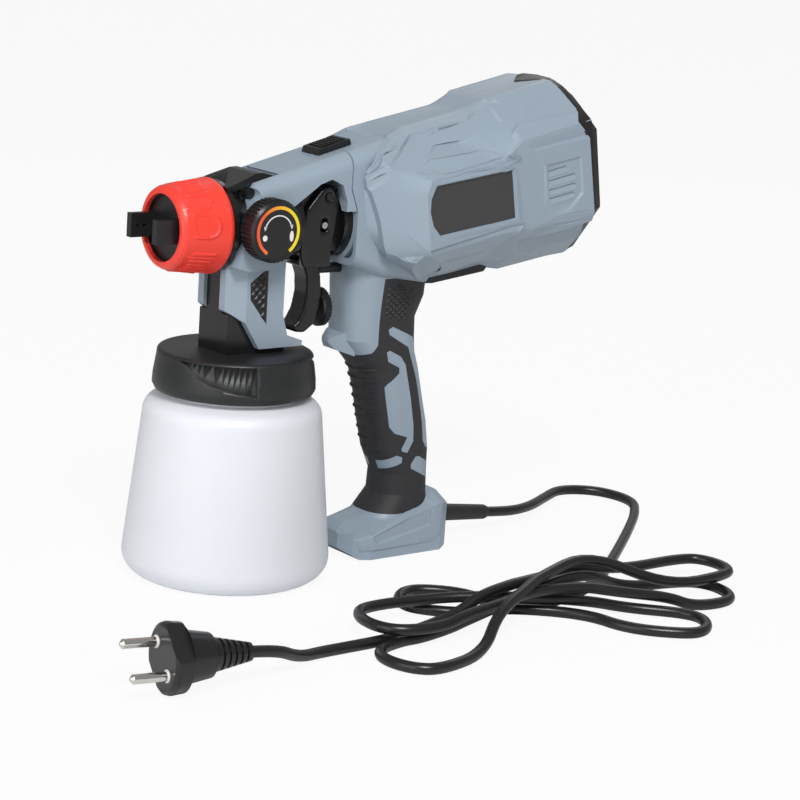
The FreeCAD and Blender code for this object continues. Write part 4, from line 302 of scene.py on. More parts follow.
def link(tree, *sockets):
    """Join sockets given as source, target, source, target and so on."""
    for source, target in zip(sockets[::2], sockets[1::2]):
        tree.links.new(source, target)


def maths(tree, operation, first, second, clamp=False):
    item = node(tree, "ShaderNodeMath", operation=operation, use_clamp=clamp)
    for slot, value in zip(item.inputs, (first, second)):
        if isinstance(value, float):
            slot.default_value = value
        else:
            link(tree, value, slot)
    return item.outputs[0]


def make_grain_group():
    """Fine moulded grain with slow changes of tone: colour tone, roughness and height."""
    group, start, end = new_group("moulded_grain", {
        "Vector": (0, 0, 0), "Grain Scale": 1800.0, "Tone Scale": 14.0, "Tone Range": 0.06,
        "Roughness": 0.5, "Roughness Range": 0.08}, ("Tone", "Roughness", "Height"))
    given, out = start.outputs, end.inputs
    fine = node(group, "ShaderNodeTexNoise", Detail=2.0, Roughness=0.6)
    slow = node(group, "ShaderNodeTexNoise", Detail=3.0, Roughness=0.5)
    for noise, scale in ((fine, "Grain Scale"), (slow, "Tone Scale")):
        link(group, given["Vector"], noise.inputs["Vector"], given[scale], noise.inputs["Scale"])
    centred = maths(group, "SUBTRACT", slow.outputs["Fac"], 0.5)
    tone = maths(group, "MULTIPLY", centred, given["Tone Range"])
    wear = maths(group, "MULTIPLY", centred, given["Roughness Range"])
    level = maths(group, "ADD", wear, given["Roughness"], clamp=True)
    link(group, maths(group, "ADD", tone, 1.0), out["Tone"], level, out["Roughness"],
         fine.outputs["Fac"], out["Height"])
    return group


def make_scratch_group():
    """Thin drawn marks along one direction, as on turned or handled metal and plastic."""
    group, start, end = new_group("drawn_marks", {
        "Vector": (0, 0, 0), "Stretch": (1, 1, 1), "Scale": 900.0}, ("Height",))
    turn = node(group, "ShaderNodeVectorMath", operation="MULTIPLY")
    noise = node(group, "ShaderNodeTexNoise", Detail=1.0)
    link(group, start.outputs["Vector"], turn.inputs[0],
         start.outputs["Stretch"], turn.inputs[1], turn.outputs[0], noise.inputs["Vector"],
         start.outputs["Scale"], noise.inputs["Scale"], noise.outputs["Fac"],
         end.inputs["Height"])
    return group


def new_material(name, **values):
    """A material, its node tree and its shader, with values for the shader's sockets."""
    material = bpy.data.materials.new(name)
    material.use_nodes = True
    tree = material.node_tree
    return material, tree, preset(tree.nodes["Principled BSDF"], **values)


def plain_finish(name, colour, roughness, tone=0.08, grain=1800.0, depth=0.00004,
                 strength=0.25, spread=0.1, marks=None, tone_scale=14.0, **sockets):
    """A material with moulded grain: its own colour times a slow tone, and a fine bump."""
    FINISH[name], tree, shader = new_material(name, **sockets)
    place = node(tree, "ShaderNodeTexCoord").outputs["Object"]
    grained = node(tree, "ShaderNodeGroup", node_tree=GROUPS["grain"], Grain_Scale=grain,
                   Tone_Scale=tone_scale, Tone_Range=tone, Roughness=roughness,
                   Roughness_Range=spread)
    tint = node(tree, "ShaderNodeVectorMath", operation="SCALE")
    tint.inputs[0].default_value = colour
    bump = node(tree, "ShaderNodeBump", Strength=strength, Distance=depth)
    height = grained.outputs["Height"]
    if marks:
        drawn = node(tree, "ShaderNodeGroup", node_tree=GROUPS["marks"], Stretch=marks)
        link(tree, place, drawn.inputs["Vector"])
        height = drawn.outputs["Height"]
    link(tree, place, grained.inputs["Vector"], grained.outputs["Tone"], tint.inputs["Scale"],
         tint.outputs[0], shader.inputs["Base Color"],
         grained.outputs["Roughness"], shader.inputs["Roughness"],
         height, bump.inputs["Height"], bump.outputs["Normal"], shader.inputs["Normal"])
    return tree, tint, place


def make_wheel_print():
    """The coloured ring on the flow wheel, orange on one side and yellow on the other."""
    tree, tint, place = plain_finish("wheel_ring_print", (1, 1, 1), 0.35)
    split = node(tree, "ShaderNodeSeparateXYZ")
    colour_band = node(tree, "ShaderNodeValToRGB")
    low, high = colour_band.color_ramp.elements
    low.position, low.color = 0.2, (0.88, 0.11, 0.03, 1)
    high.position, high.color = 0.8, (0.9, 0.72, 0.02, 1)
    shift = maths(tree, "ADD", split.outputs["X"], 0.018)
    share = maths(tree, "DIVIDE", shift, 0.032, clamp=True)
    link(tree, place, split.inputs[0], share, colour_band.inputs["Fac"],
         colour_band.outputs["Color"], tint.inputs[0])


def make_finishes():
    GROUPS["grain"] = make_grain_group()
    GROUPS["marks"] = make_scratch_group()
    plain_finish("grey_plastic", tuple(colours().housing), 0.42, tone=0.05, grain=2600.0,
                 depth=0.00003, strength=0.2, Coat_Weight=0.12, Coat_Roughness=0.35)
    plain_finish("black_plastic", (0.010, 0.010, 0.011), 0.38, tone=0.2, grain=2200.0,
                 strength=0.3)
    plain_finish("gloss_black", (0.008, 0.008, 0.009), 0.22, tone=0.2, grain=1400.0,
                 strength=0.12)
    plain_finish("lid_plastic", (0.014, 0.015, 0.016), 0.42, tone=0.15, grain=2600.0,
                 strength=0.3)
    plain_finish("grip_rubber", (0.026, 0.026, 0.028), 0.62, tone=0.12, grain=3200.0,
                 depth=0.00006, strength=0.35)
    plain_finish("red_plastic", tuple(colours().ring), 0.42, tone=0.06, grain=2400.0,
                 depth=0.00003, strength=0.2, Coat_Weight=0.1)
    plain_finish("milky_plastic", tuple(colours().container), 0.4, tone=0.03, grain=900.0,
                 depth=0.00006, strength=0.15, Subsurface_Weight=0.35, Subsurface_Scale=0.01,
                 Subsurface_Radius=(1.0, 1.0, 1.2))
    plain_finish("wheel_plastic", (0.010, 0.010, 0.011), 0.3, tone=0.2, strength=0.2)
    plain_finish("plate_foil", (0.046, 0.046, 0.048), 0.45, grain=5200.0, depth=0.00003,
                 strength=0.3)
    plain_finish("cord_sheath", (0.012, 0.012, 0.013), 0.3, tone=0.25, grain=1200.0,
                 strength=0.2, tone_scale=40.0)
    plain_finish("steel", (0.56, 0.56, 0.56), 0.3, Metallic=1.0, marks=(1, 12, 12), strength=0.2)
    plain_finish("pin_nickel", (0.75, 0.73, 0.70), 0.16, Metallic=1.0, marks=(1, 16, 16),
                 strength=0.1, spread=0.12)
    plain_finish("copper", (0.62, 0.30, 0.17), 0.4, Metallic=1.0, marks=(14, 1, 14),
                 strength=0.4)
    plain_finish("fan_plastic", (0.62, 0.62, 0.6), 0.5)
    plain_finish("filter_foam", (0.12, 0.12, 0.12), 0.9, grain=700.0, depth=0.0006,
                 strength=0.8)
    plain_finish("seal_rubber", (0.02, 0.02, 0.021), 0.5, tone=0.15, grain=2600.0)
    plain_finish("tube_plastic", (0.72, 0.76, 0.8), 0.35)
    plain_finish("white_print", (0.8, 0.8, 0.8), 0.4)
    plain_finish("white_sleeve", (0.75, 0.74, 0.7), 0.45)
    make_wheel_print()


# Mesh helpers

def add_object(name, mesh):
    item = bpy.data.objects.new(name, mesh)
    bpy.context.scene.collection.objects.link(item)
    return item


def drop(item):
    bpy.data.objects.remove(item)


def solid(name, points, faces, smooth_angle=40.0):
    """An object from points in millimetres, smooth but for edges sharper than an angle."""
    mesh = bpy.data.meshes.new(name)
    mesh.from_pydata([Vector(p) * MM for p in points], [], faces)
    mesh.validate()
    work = bmesh.new()
    work.from_mesh(mesh)
    bmesh.ops.recalc_face_normals(work, faces=work.faces)
    work.to_mesh(mesh)
    work.free()
    return shaded(add_object(name, mesh), smooth_angle)


def shaded(item, smooth_angle):
    item.data.shade_smooth()
    item.data.set_sharp_from_angle(angle=math.radians(smooth_angle))
    return item


def dress(item, finish, body, nodes=()):
    """Give a finished piece its material, its body and the nodes that it stands for."""
    if item.type == "MESH":
        item.data.materials.clear()
    item.data.materials.append(FINISH[finish])
    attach(item, body)
    if nodes:
        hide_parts(*nodes)


def node_copy(node_name, name):
    """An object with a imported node's mesh, its doubles merged."""
    mesh = frame["nodes"][node_name].data.copy()
    work = bmesh.new()
    work.from_mesh(mesh)
    bmesh.ops.remove_doubles(work, verts=work.verts, dist=1e-6)
    work.to_mesh(mesh)
    work.free()
    return add_object(name, mesh)


def applied(item):
    """The object with its evaluated mesh in place of its modifiers."""
    graph = bpy.context.evaluated_depsgraph_get()
    graph.update()
    mesh = bpy.data.meshes.new_from_object(item.evaluated_get(graph))
    item.modifiers.clear()
    item.data = mesh
    return item


def modifier(item, kind, **values):
    added = item.modifiers.new(kind.lower(), kind)
    for key, value in values.items():
        setattr(added, key, value)


def tube_faces(count, size, closed):
    """Faces between rings of points that follow one another, with ends unless it is closed."""
    end = (count - 1) * size
    faces = [] if closed else [tuple(range(size)), tuple(range(end + size - 1, end - 1, -1))]
    for i in range(count if closed else count - 1):
        j = (i + 1) % count
        for k in range(size):
            m = (k + 1) % size
            faces.append((i * size + k, i * size + m, j * size + m, j * size + k))
    return faces


def bar(outline, low, high):
    """Corners and faces of a prism over an outline of x and z, between two places on Y."""
    corners = [(x, y, z) for y in (low, high) for x, z in outline]
    return corners, tube_faces(2, len(outline), False)


def both_sides(outline, near, far):
    """The same prism on both sides of the middle plane."""
    return [bar(outline, *sorted((side * near, side * far))) for side in (-1, 1)]


def grouped(parts):
    """One list of points and faces from several."""
    points, faces = [], []
    for corners, polygons in parts:
        start = len(points)
        points += corners
        faces += [tuple(start + k for k in polygon) for polygon in polygons]
    return points, faces


def cut(item, parts, smooth_angle, in_triangles=False):
    """Take shapes out of a piece."""
    cutter = solid("cutter", *grouped(parts))
    if in_triangles:
        modifier(cutter, "TRIANGULATE")
        applied(cutter)
    modifier(item, "BOOLEAN", object=cutter, operation="DIFFERENCE", solver="MANIFOLD")
    applied(item)
    drop(cutter)
    return shaded(item, smooth_angle)


def turned(profile, count, relief=None):
    """Points and faces of a ring turned about X from a closed profile of (along, radius, share).
    The relief raises a point by its share of relief(along, angle)."""
    points = []
    for i in range(count):
        angle = 2 * math.pi * i / count
        for along, radius, share in profile:
            if share:
                radius += share * relief(along, angle)
            points.append(Vector((along, -radius * math.cos(angle), radius * math.sin(angle))))
    return points, tube_faces(count, len(profile), True)


def divided(line, count_of):
    """A line with each stretch cut into as many equal lengths as count_of says of its ends."""
    out = []
    for a, b in zip(line, line[1:]):
        count = max(1, count_of(a, b))
        out += [tuple(p + (q - p) * k / count for p, q in zip(a, b)) for k in range(count)]
    return out + [tuple(line[-1])]


def rows_of(start, stop, step, first, last, gap, shift=0.0):
    """Points in rows from start to stop, each from first to last, every other row shifted."""
    out = []
    odd = False
    while start < stop:
        place = first + (shift if odd else 0.0)
        while place < last:
            out.append((start, place))
            place += gap
        start += step
        odd = not odd
    return out


def ease(t):
    """A smooth step from 0 to 1."""
    t = min(max(t, 0.0), 1.0)
    return t * t * (3 - 2 * t)


def blend(value, target, mask):
    return value + (target - value) * mask


def ramp(value, low, high, first, last):
    """A level that goes from first to last while a value goes from low to high."""
    return first + (last - first) * min(max((value - low) / (high - low), 0.0), 1.0)


def between(rows, s):
    """Values at s on straight lines between rows that start with their own s."""
    for first, second in zip(rows, rows[1:]):
        if s <= second[0]:
            t = (s - first[0]) / (second[0] - first[0])
            return [a + (b - a) * t for a, b in zip(first[1:], second[1:])]
    return list(rows[-1][1:])


def stroke_distance(px, py, line):
    """Distance from an open line of points."""
    best = 1e9
    for (ax, ay), (bx, by) in zip(line, line[1:]):
        dx, dy = bx - ax, by - ay
        t = ((px - ax) * dx + (py - ay) * dy) / (dx * dx + dy * dy)
        t = min(max(t, 0.0), 1.0)
        best = min(best, math.hypot(px - ax - t * dx, py - ay - t * dy))
    return best


def polygon_distance(px, py, polygon):
    """Signed distance from a polygon's edge, positive inside."""
    ring = polygon + polygon[:1]
    inside = False
    for (ax, ay), (bx, by) in zip(ring, ring[1:]):
        if (ay > py) != (by > py) and px < ax + (py - ay) / (by - ay) * (bx - ax):
            inside = not inside
    gap = stroke_distance(px, py, ring)
    return gap if inside else -gap


def stamp_tree():
    """Geometry Nodes that set a stamp on every point, turned by the point's own turn."""
    tree = bpy.data.node_groups.new("set_stamps", "GeometryNodeTree")
    for label, way, kind in (("Geometry", "INPUT", "Geometry"), ("Stamp", "INPUT", "Object"),
                             ("Size", "INPUT", "Vector"), ("Finish", "INPUT", "Material"),
                             ("Geometry", "OUTPUT", "Geometry")):
        tree.interface.new_socket(label, in_out=way, socket_type="NodeSocket" + kind)
    given = node(tree, "NodeGroupInput").outputs
    end = node(tree, "NodeGroupOutput")
    turn = node(tree, "GeometryNodeInputNamedAttribute", data_type="FLOAT_VECTOR", Name="turn")
    look = node(tree, "GeometryNodeObjectInfo")
    setter = node(tree, "GeometryNodeInstanceOnPoints")
    real = node(tree, "GeometryNodeRealizeInstances")
    paint = node(tree, "GeometryNodeSetMaterial")
    link(tree, given["Geometry"], setter.inputs["Points"], given["Stamp"], look.inputs["Object"],
         look.outputs["Geometry"], setter.inputs["Instance"],
         turn.outputs["Attribute"], setter.inputs["Rotation"],
         given["Size"], setter.inputs["Scale"],
         setter.outputs["Instances"], real.inputs["Geometry"],
         real.outputs["Geometry"], paint.inputs["Geometry"],
         given["Finish"], paint.inputs["Material"],
         paint.outputs["Geometry"], end.inputs["Geometry"])
    return tree


def set_stamps(name, stamp, spots, finish, body):
    """Copies of a stamp on spots given as (place in mm, direction of its Z, direction of its X)."""
    if "stamps" not in GROUPS:
        GROUPS["stamps"] = stamp_tree()
    tree = GROUPS["stamps"]
    mesh = bpy.data.meshes.new(name)
    mesh.from_pydata([Vector(place) * MM for place, _, _ in spots], [], [])
    turns = mesh.attributes.new("turn", "FLOAT_VECTOR", "POINT")
    for i, (_, up, side) in enumerate(spots):
        z = Vector(up).normalized()
        y = z.cross(Vector(side)).normalized()
        turns.data[i].vector = Matrix((y.cross(z), y, z)).transposed().to_euler()
    item = add_object(name, mesh)
    setter = item.modifiers.new("stamps", "NODES")
    setter.node_group = tree
    values = {"Stamp": stamp, "Size": (1, 1, 1), "Finish": FINISH[finish]}
    for socket in tree.interface.items_tree:
        if socket.in_out == "INPUT" and socket.name in values:
            setter[socket.identifier] = values[socket.name]
    shaded(applied(item), 35.0)
    drop(stamp)
    dress(item, finish, body)


def ribs_round(name, stamp, count, middle, first, radius, along, finish, body):
    """Ribs round a disc that lies across the direction along."""
    spots = []
    for i in range(count):
        angle = 2 * math.pi * i / count
        way = Vector(first) * math.cos(angle) + Vector((0, 0, 1)) * math.sin(angle)
        spots.append((Vector(middle) + way * radius, way, along))
    set_stamps(name, stamp, spots, finish, body)


# The motor housing's facets

def housing_place(s, y, t):
    """The point at a place along the housing's axis, a place on Y and a height off the axis."""
    return HOUSING_MIDDLE + ALONG * s + UPWARD * t + Vector((0, y, 0))


def half_section(s):
    """Corners of the housing's section, from the middle of the top to the middle of the keel."""
    wide, top, low = between(HOUSING_SIZES, s)
    ridge, bend, side, flank, keel = between(FACET_PLANES, s)
    slope = (side - bend) / (SIDE_REACH - SIDE_BEND)
    flat = (ridge - top) / (ridge - bend) * SIDE_BEND
    if flat > SIDE_BEND:
        flat = SIDE_BEND + (top - bend) / slope
    flat = min(flat, wide - 0.8)
    middle = max(SIDE_BEND, flat + 0.3)
    middle = min(middle, wide - 0.4)
    middle_height = min(top, bend + slope * (middle - SIDE_BEND))
    rise = (flank - keel) / SIDE_REACH
    foot = min(wide, (low - keel) / rise)
    return [(0.0, top), (flat, top), (middle, middle_height),
            (wide, min(top, bend + slope * (wide - SIDE_BEND))),
            (wide, max(low, keel + rise * wide)), (foot, low), (0.0, low)]


def facet_directions(corners):
    """Outward direction of each facet of a half section."""
    out = []
    for (y0, t0), (y1, t1) in zip(corners, corners[1:]):
        size = math.hypot(y1 - y0, t1 - t0)
        out.append(Vector(((t0 - t1) / size, (y1 - y0) / size)) if size > 0.9 else None)
    for k, item in enumerate(out):
        if item is None:
            before = next(v for v in reversed(out[:k]) if v is not None)
            after = next(v for v in out[k + 1:] if v is not None)
            out[k] = (before + after).normalized()
    return out


def girth_place(s, w):
    """Side place and height at w round half a section, and the way out of it there."""
    corners = half_section(s)
    ways = facet_directions(corners)
    for k in range(6):
        if w <= CORNER_LINES[k + 1] + 1e-6 or k == 5:
            break
    share = (w - CORNER_LINES[k]) / (CORNER_LINES[k + 1] - CORNER_LINES[k])
    start, end = Vector(corners[k]), Vector(corners[k + 1])
    spot = start + (end - start) * min(max(share, 0.0), 1.0)
    way = ways[k]
    if share > 1.0 - 1e-4 and k < 5:
        way = (ways[k] + ways[k + 1]) / max(1.0 + ways[k].dot(ways[k + 1]), 0.5)
    return spot, way


def height_to_girth(s, t):
    """w of a height t on the side facet at s."""
    corners = half_section(s)
    high, low = corners[3][1], corners[4][1]
    share = (high - t) / (high - low)
    return CORNER_LINES[3] + share * (CORNER_LINES[4] - CORNER_LINES[3])


def moved_outline(outline, distance):
    """A closed outline moved inwards by a distance, its corners mitred."""
    area = sum(a[0] * b[1] - b[0] * a[1] for a, b in zip(outline, outline[1:] + outline[:1]))
    turn = 1.0 if area > 0 else -1.0
    out = []
    for i, (x, y) in enumerate(outline):
        before, after = outline[i - 1], outline[(i + 1) % len(outline)]
        ways = []
        for a, b in ((before, (x, y)), ((x, y), after)):
            size = math.hypot(b[0] - a[0], b[1] - a[1])
            ways.append(((a[1] - b[1]) / size * turn, (b[0] - a[0]) / size * turn))
        dot = ways[0][0] * ways[1][0] + ways[0][1] * ways[1][1]
        share = distance / max(1.0 + dot, 0.45)
        out.append((x + (ways[0][0] + ways[1][0]) * share, y + (ways[0][1] + ways[1][1]) * share))
    return out


def side_outline(points):
    """An outline given by s and height, as s and w, with points every few millimetres."""
    line = divided(points + points[:1], lambda a, b: int(math.dist(a, b) / 7))
    return [(s, height_to_girth(s, t)) for s, t in line[:-1]]


def housing_marks():
    """The raised and sunk facets: outline in s and w, half the width of its edge, and level."""
    marks = []
    band = [(-49.5, 12.3), (-1.5, 14.6), (-9.5, 22), (-49.5, 21), (-55.5, 24.5), (-61.5, 28.5),
            (-67.5, 34), (-73, 42), (-77.5, 54), (-80, 58), (-92, 60), (-92, 4), (-70, 10),
            (-64.5, 12.8)]
    marks.append((band, 0.8, lambda s, w: max(ramp(w, 12, 22, 0.6, 2.9),
                                              ramp(s, -52, -64, 0.0, 2.8))))
    ledge = [(4, 14.6), (80, 9.0), (80, 18.2), (9.5, 18.4)]
    marks.append((ledge, 0.6, lambda s, w: ramp(w, 13.5 - 0.06 * s, 18.3, 0.6, 2.6)))
    brow = [(-61, 47), (-51, 40.3), (-15, 43.6), (5.5, 58.5), (-13, 52.4), (-45, 51.2)]
    marks.append((brow, 0.7, lambda s, w: ramp(w, 41 + 0.75 * max(s + 15, 0), 52.5, 3.1, 0.15)))
    upper_pad = [(12, 42.2), (80, 47), (80, 59.2), (16.5, 57.6), (1.5, 46.6)]
    marks.append((upper_pad, 0.7, lambda s, w: ramp(w, 44, 58, 3.0, 0.1)))
    rear_pad = [(16.5, 57.8), (80, 59.4), (80, 97.5), (54.5, 98.6), (6.5, 102.2), (22, 84),
                (22.6, 66.5)]
    marks.append((rear_pad, 0.7, lambda s, w: 2.3 - 1.1 * ramp(w, 70, 90, 0, 1)
                  * ramp(s, 24, 40, 1, 0) + ramp(w, 94, 100, 0, 2.4) * ramp(s, 8, 40, 0.2, 1)))
    panel = [(24, 66.4), (49, 67), (49.5, 83.5), (38.5, 90), (24, 90)]
    marks.append((panel, 0.6, lambda s, w: 1.3))
    for start, tip in ((69.2, 38.5), (73.8, 44.5), (78.2, 44.5), (82.2, 43)):
        slat = [(25.2, start), (tip, start), (tip + 2, start + 1.6), (tip, start + 3.0),
                (25.2, start + 3.0)]
        marks.append((slat, 0.3, lambda s, w, a=start: ramp(w - a, 0.2, 2.9, 0.15, 1.75)))
    ledge_low = [(-62, 92.3), (5.5, 91), (-9, 103.8), (-53.5, 103.8)]
    marks.append((ledge_low, 0.5, lambda s, w: ramp(w, 92, 103.5, 0.1, 3.2)))
    rear_low = [(6.5, 102.4), (54.5, 98.6), (80, 97), (80, 113), (21, 115.6)]
    marks.append((rear_low, 0.5, lambda s, w: ramp(w, 101.5 - 0.08 * (s - 7.5), 114, 0.1, 3.0)))
    marks.append((side_outline(FRAME_OUTLINE), 0.9, lambda s, w: 2.0))
    marks.append((side_outline(PLATE_OUTLINE), 0.5, lambda s, w: 0.12))
    return marks


def softness(s, w, marks):
    """How far the skin's points at s and w are evened out, from 0 on the crisp facets to 1."""
    gap = min(-polygon_distance(s, w, shape) - half for shape, half, _ in marks)
    front = 1.0 - ease((s + 52) / 10.0)
    waist = ease((s + 26) / 12.0) * (1.0 - ease((s - 14) / 10.0)) * ease((w - 16) / 6.0)
    return ease(gap / 3.0) * max(front * ease((w - 20) / 20), waist, 0.25)


def marked(level, a, b, marks):
    """A level once each mark has blended in its own at a place."""
    for outline, half, own in marks:
        d = polygon_distance(a, b, outline)
        if d > -half:
            level = blend(level, own(a, b), min((d + half) / (2 * half), 1.0))
    return level


def housing_relief(s, w, marks):
    """How far the facets stand off the plain housing at s and w, in millimetres."""
    h = ramp(w, 8, 16, 0.5, 1.2)
    front = between([edge[::-1] for edge in FRONT_OUTLINE], w)[0]
    lip = 1.0 - ease((s - front - 1.0) / 14.0)
    side = ease((w - 24) / 20) * ease((142 - w) / 24)
    h += (2.2 * lip + 0.9 * (1.0 - ease((s + 56) / 14.0))) * side
    h += 2.6 * max(0.0, 1.0 - abs(s + 5) / 13.0) * ease((w - 18) / 8) * ease((62 - w) / 8)
    d = polygon_distance(s, w, HOLLOW)
    h = blend(h, 0.6, ease((d + 3.0) / 9.0) * ease(abs(s + 5) / 14))
    h += 1.6 * ease((w - 17.5) / 1.0) * (1.0 - ease((w - 18.5) / 9.0)) * ease((s - 4) / 12)
    d = polygon_distance(s, w, FLANK)
    h = blend(h, ramp(w, 104, 128, 3.1, 1.7), ease((d + 0.6) / 2.0))
    d = polygon_distance(s, w, REAR_FLANK)
    h = blend(h, ramp(w, 112, 135, 2.4, 0.6), ease((d + 0.6) / 2.4))
    return marked(h, s, w, marks) * settings().relief


def moved_marks(marks):
    """The closed lines on both sides of each mark's edge."""
    return [(moved_outline(shape, gap), True) for shape, half, _ in marks
            for gap in (-half, half)]


def closed_skin(name, outline, lines, grid, layers, settle=None):
    """A closed shell over the inside of an outline, from each point's outer and inner place.
    The outline and the lines, given with whether they close, are edges of its faces."""
    points, edges = [], []
    for line, closed in [(outline, True)] + lines:
        start, last = len(points), len(points) + len(line) - 1
        points += [Vector(p) for p in line]
        edges += [(k, k + 1) for k in range(start, last)]
        if closed:
            edges.append((last, start))
    points += [Vector(p) for p in grid]
    spots, _, triangles, _, _, _ = delaunay_2d_cdt(points, edges, [], 0, 1e-4)
    kept = []
    for face in triangles:
        a = sum(spots[k][0] for k in face) / 3
        b = sum(spots[k][1] for k in face) / 3
        if polygon_distance(a, b, outline) > 0:
            kept.append(face)
    used = sorted({k for face in kept for k in face})
    place = {k: i for i, k in enumerate(used)}
    outer, inner = map(list, zip(*(layers(*spots[k]) for k in used)))
    total = len(used)
    faces, count = [], {}
    for face in kept:
        ring = [place[k] for k in face]
        faces += [tuple(ring), tuple(total + k for k in reversed(ring))]
        for edge in zip(ring, ring[1:] + ring[:1]):
            key = tuple(sorted(edge))
            count[key] = count.get(key, 0) + 1
    rim = [key for key, times in count.items() if times == 1]
    if settle:
        settle([spots[k] for k in used], outer, inner, rim, list(count))
    faces += [(a, b, total + b, total + a) for a, b in rim]
    return solid(name, outer + inner, faces, 26.0)


def facet_skin(name, side, outline, rise, marks=(), stations=(), step=3.0):
    """A closed skin over half the housing inside an outline of s and w, standing off it by rise,
    with its points evened out where there are marks."""
    inner_corners = CORNER_LINES[1:-1]
    half_edge = 1.3
    low, high = min(p[0] for p in outline) - 2, max(p[0] for p in outline) + 2
    lines = [([(low, w + shift), (high, w + shift)], False) for w in inner_corners
             for shift in (-half_edge, 0.0, half_edge)]
    lines += [([(s, -1), (s, HALF_GIRTH + 1)], False) for s in stations]
    grid = [p for p in rows_of(low, high, step * 0.9, 1.5, HALF_GIRTH, step, step / 2)
            if polygon_distance(*p, outline) > 0.8]

    def layers(s, w):
        spot, way = girth_place(s, min(max(w, 0.0), HALF_GIRTH))
        gap = min(abs(w - line) for line in inner_corners)
        lift = rise(s, w, marks)
        lift = max(lift - 0.35 * max(0.0, 1.0 - gap / half_edge), min(lift, 0.12))
        out = []
        for level in (lift, min(lift, 0.0) - SKIN_DEPTH):
            flat = spot + way * level
            if w < 0.01 or w > HALF_GIRTH - 0.01:
                flat.x = 0.0
            out.append(housing_place(s, side * flat.x, flat.y))
        return out

    def settle(spots, outer, inner, rim, edges):
        low_front = [0.8 if s < -60 and 60 < w < 147 else 0.0 for s, w in spots]
        for layer in (outer, inner):
            even_out(layer, low_front, rim, 14)
        fixed = {k for edge in rim for k in edge}
        even_out(outer, [0.0 if i in fixed else softness(s, w, marks)
                         for i, (s, w) in enumerate(spots)], edges, 30)
        hold_out(outer, fixed)

    return closed_skin(name, outline, lines + moved_marks(marks), grid, layers,
                       settle if marks else None)


def hold_out(points, fixed, least=0.3):
    """Move each point of a skin that lies under the solid housing out to stand off it."""
    tree = surface_of("housing_left", "housing_right")
    for i, point in enumerate(points):
        if i in fixed:
            continue
        spot, normal, _, _ = tree.find_nearest(point * MM)
        off = (point * MM - spot).dot(normal) / MM
        if -4.0 < off < least:
            points[i] = point + normal * (least - off)


def even_out(points, shares, edges, rounds):
    """Move each point towards the middle of its neighbours by its own share."""
    near = [[] for _ in points]
    for a, b in edges:
        near[a].append(b)
        near[b].append(a)
    moving = [i for i, share in enumerate(shares) if share >= 0.01 and near[i]]
    for _ in range(rounds):
        moved = {}
        for i in moving:
            middle = sum((points[k] for k in near[i]), Vector((0, 0, 0))) / len(near[i])
            moved[i] = points[i].lerp(middle, shares[i] * 0.6)
        for i, point in moved.items():
            points[i] = point


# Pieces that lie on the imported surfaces

def surface_of(*names):
    """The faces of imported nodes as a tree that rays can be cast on."""
    work = bmesh.new()
    for name in names:
        work.from_mesh(frame["nodes"][name].data)
    tree = BVHTree.FromBMesh(work)
    work.free()
    return tree


def cast(tree, start, way):
    """Where a ray meets the surface, in millimetres, and the surface's direction there."""
    place, normal, _, _ = tree.ray_cast(Vector(start) * MM, Vector(way).normalized())
    if place is None:
        return None, None
    return place / MM, normal


def stacked(rows):
    """A small block from rings of four corners, one above the other."""
    return solid("stamp", sum(rows, []), tube_faces(len(rows), 4, False), 10.0)


def lozenge(wide, tall, high):
    """A flat-topped diamond, wide along X and tall along Y, to be set on a surface."""
    return stacked([[(wide * k, 0, z), (0, tall * k, z), (-wide * k, 0, z), (0, -tall * k, z)]
                    for k, z in ((1.0, -0.3), (1.0, 0.0), (0.55, high))])


def rounded_block(long, wide, high, bevel):
    """A small block, long along X and high along Z, with its upper edges slanted."""
    rows = []
    for inset, z in ((0.0, -0.4), (0.0, high - bevel), (bevel, high)):
        x, y = long / 2 - inset, wide / 2 - inset
        rows.append([(-x, -y, z), (x, -y, z), (x, y, z), (-x, y, z)])
    return stacked(rows)


def pattern_spots(tree, side, outline, pitch, row, margin):
    """Places of a staggered pattern inside an outline of x and z, cast on the side surface."""
    xs, zs = zip(*outline)
    spots = []
    for z, x in rows_of(min(zs), max(zs), row, min(xs), max(xs), pitch, pitch / 2):
        if polygon_distance(x, z, outline) > margin:
            place, normal = cast(tree, (x, side * 80, z), (0, -side, 0))
            if place is not None:
                spots.append((place, normal, (1, 0, 0)))
    return spots


def rib_along(places, ways, wide, high):
    """Points and faces of a ridge with a roof section along a line on a surface."""
    points = []
    for i, (place, way) in enumerate(zip(places, ways)):
        before, after = places[max(i - 1, 0)], places[min(i + 1, len(places) - 1)]
        across = (after - before).normalized().cross(way).normalized()
        size = 0.35 if i in (0, len(places) - 1) else 1.0
        for reach, level in ((-wide / 2, -0.5), (wide / 2, -0.5), (wide * 0.2, high * size),
                             (-wide * 0.2, high * size)):
            points.append(place + across * reach + way * level)
    return points, tube_faces(len(places), 4, False)


def flat_ring(inner, outer, start, end, high, count):
    """Points and faces of a flat ring or arc on the wheel's face, between two angles."""
    points = []
    for i in range(count + 1):
        a = math.radians(start + (end - start) * i / count)
        for radius, y in ((inner, 0.3), (outer, 0.3), (outer, -high), (inner, -high)):
            points.append((WHEEL_MIDDLE[0] + radius * math.cos(a), WHEEL_FACE + y,
                           WHEEL_MIDDLE[1] + radius * math.sin(a)))
    return points, tube_faces(count + 1, 4, False)


def ellipse(middle_x, middle_z, half_x, half_z):
    turns = [2 * math.pi * i / 28 for i in range(28)]
    return [(middle_x + half_x * math.cos(a), middle_z + half_z * math.sin(a)) for a in turns]


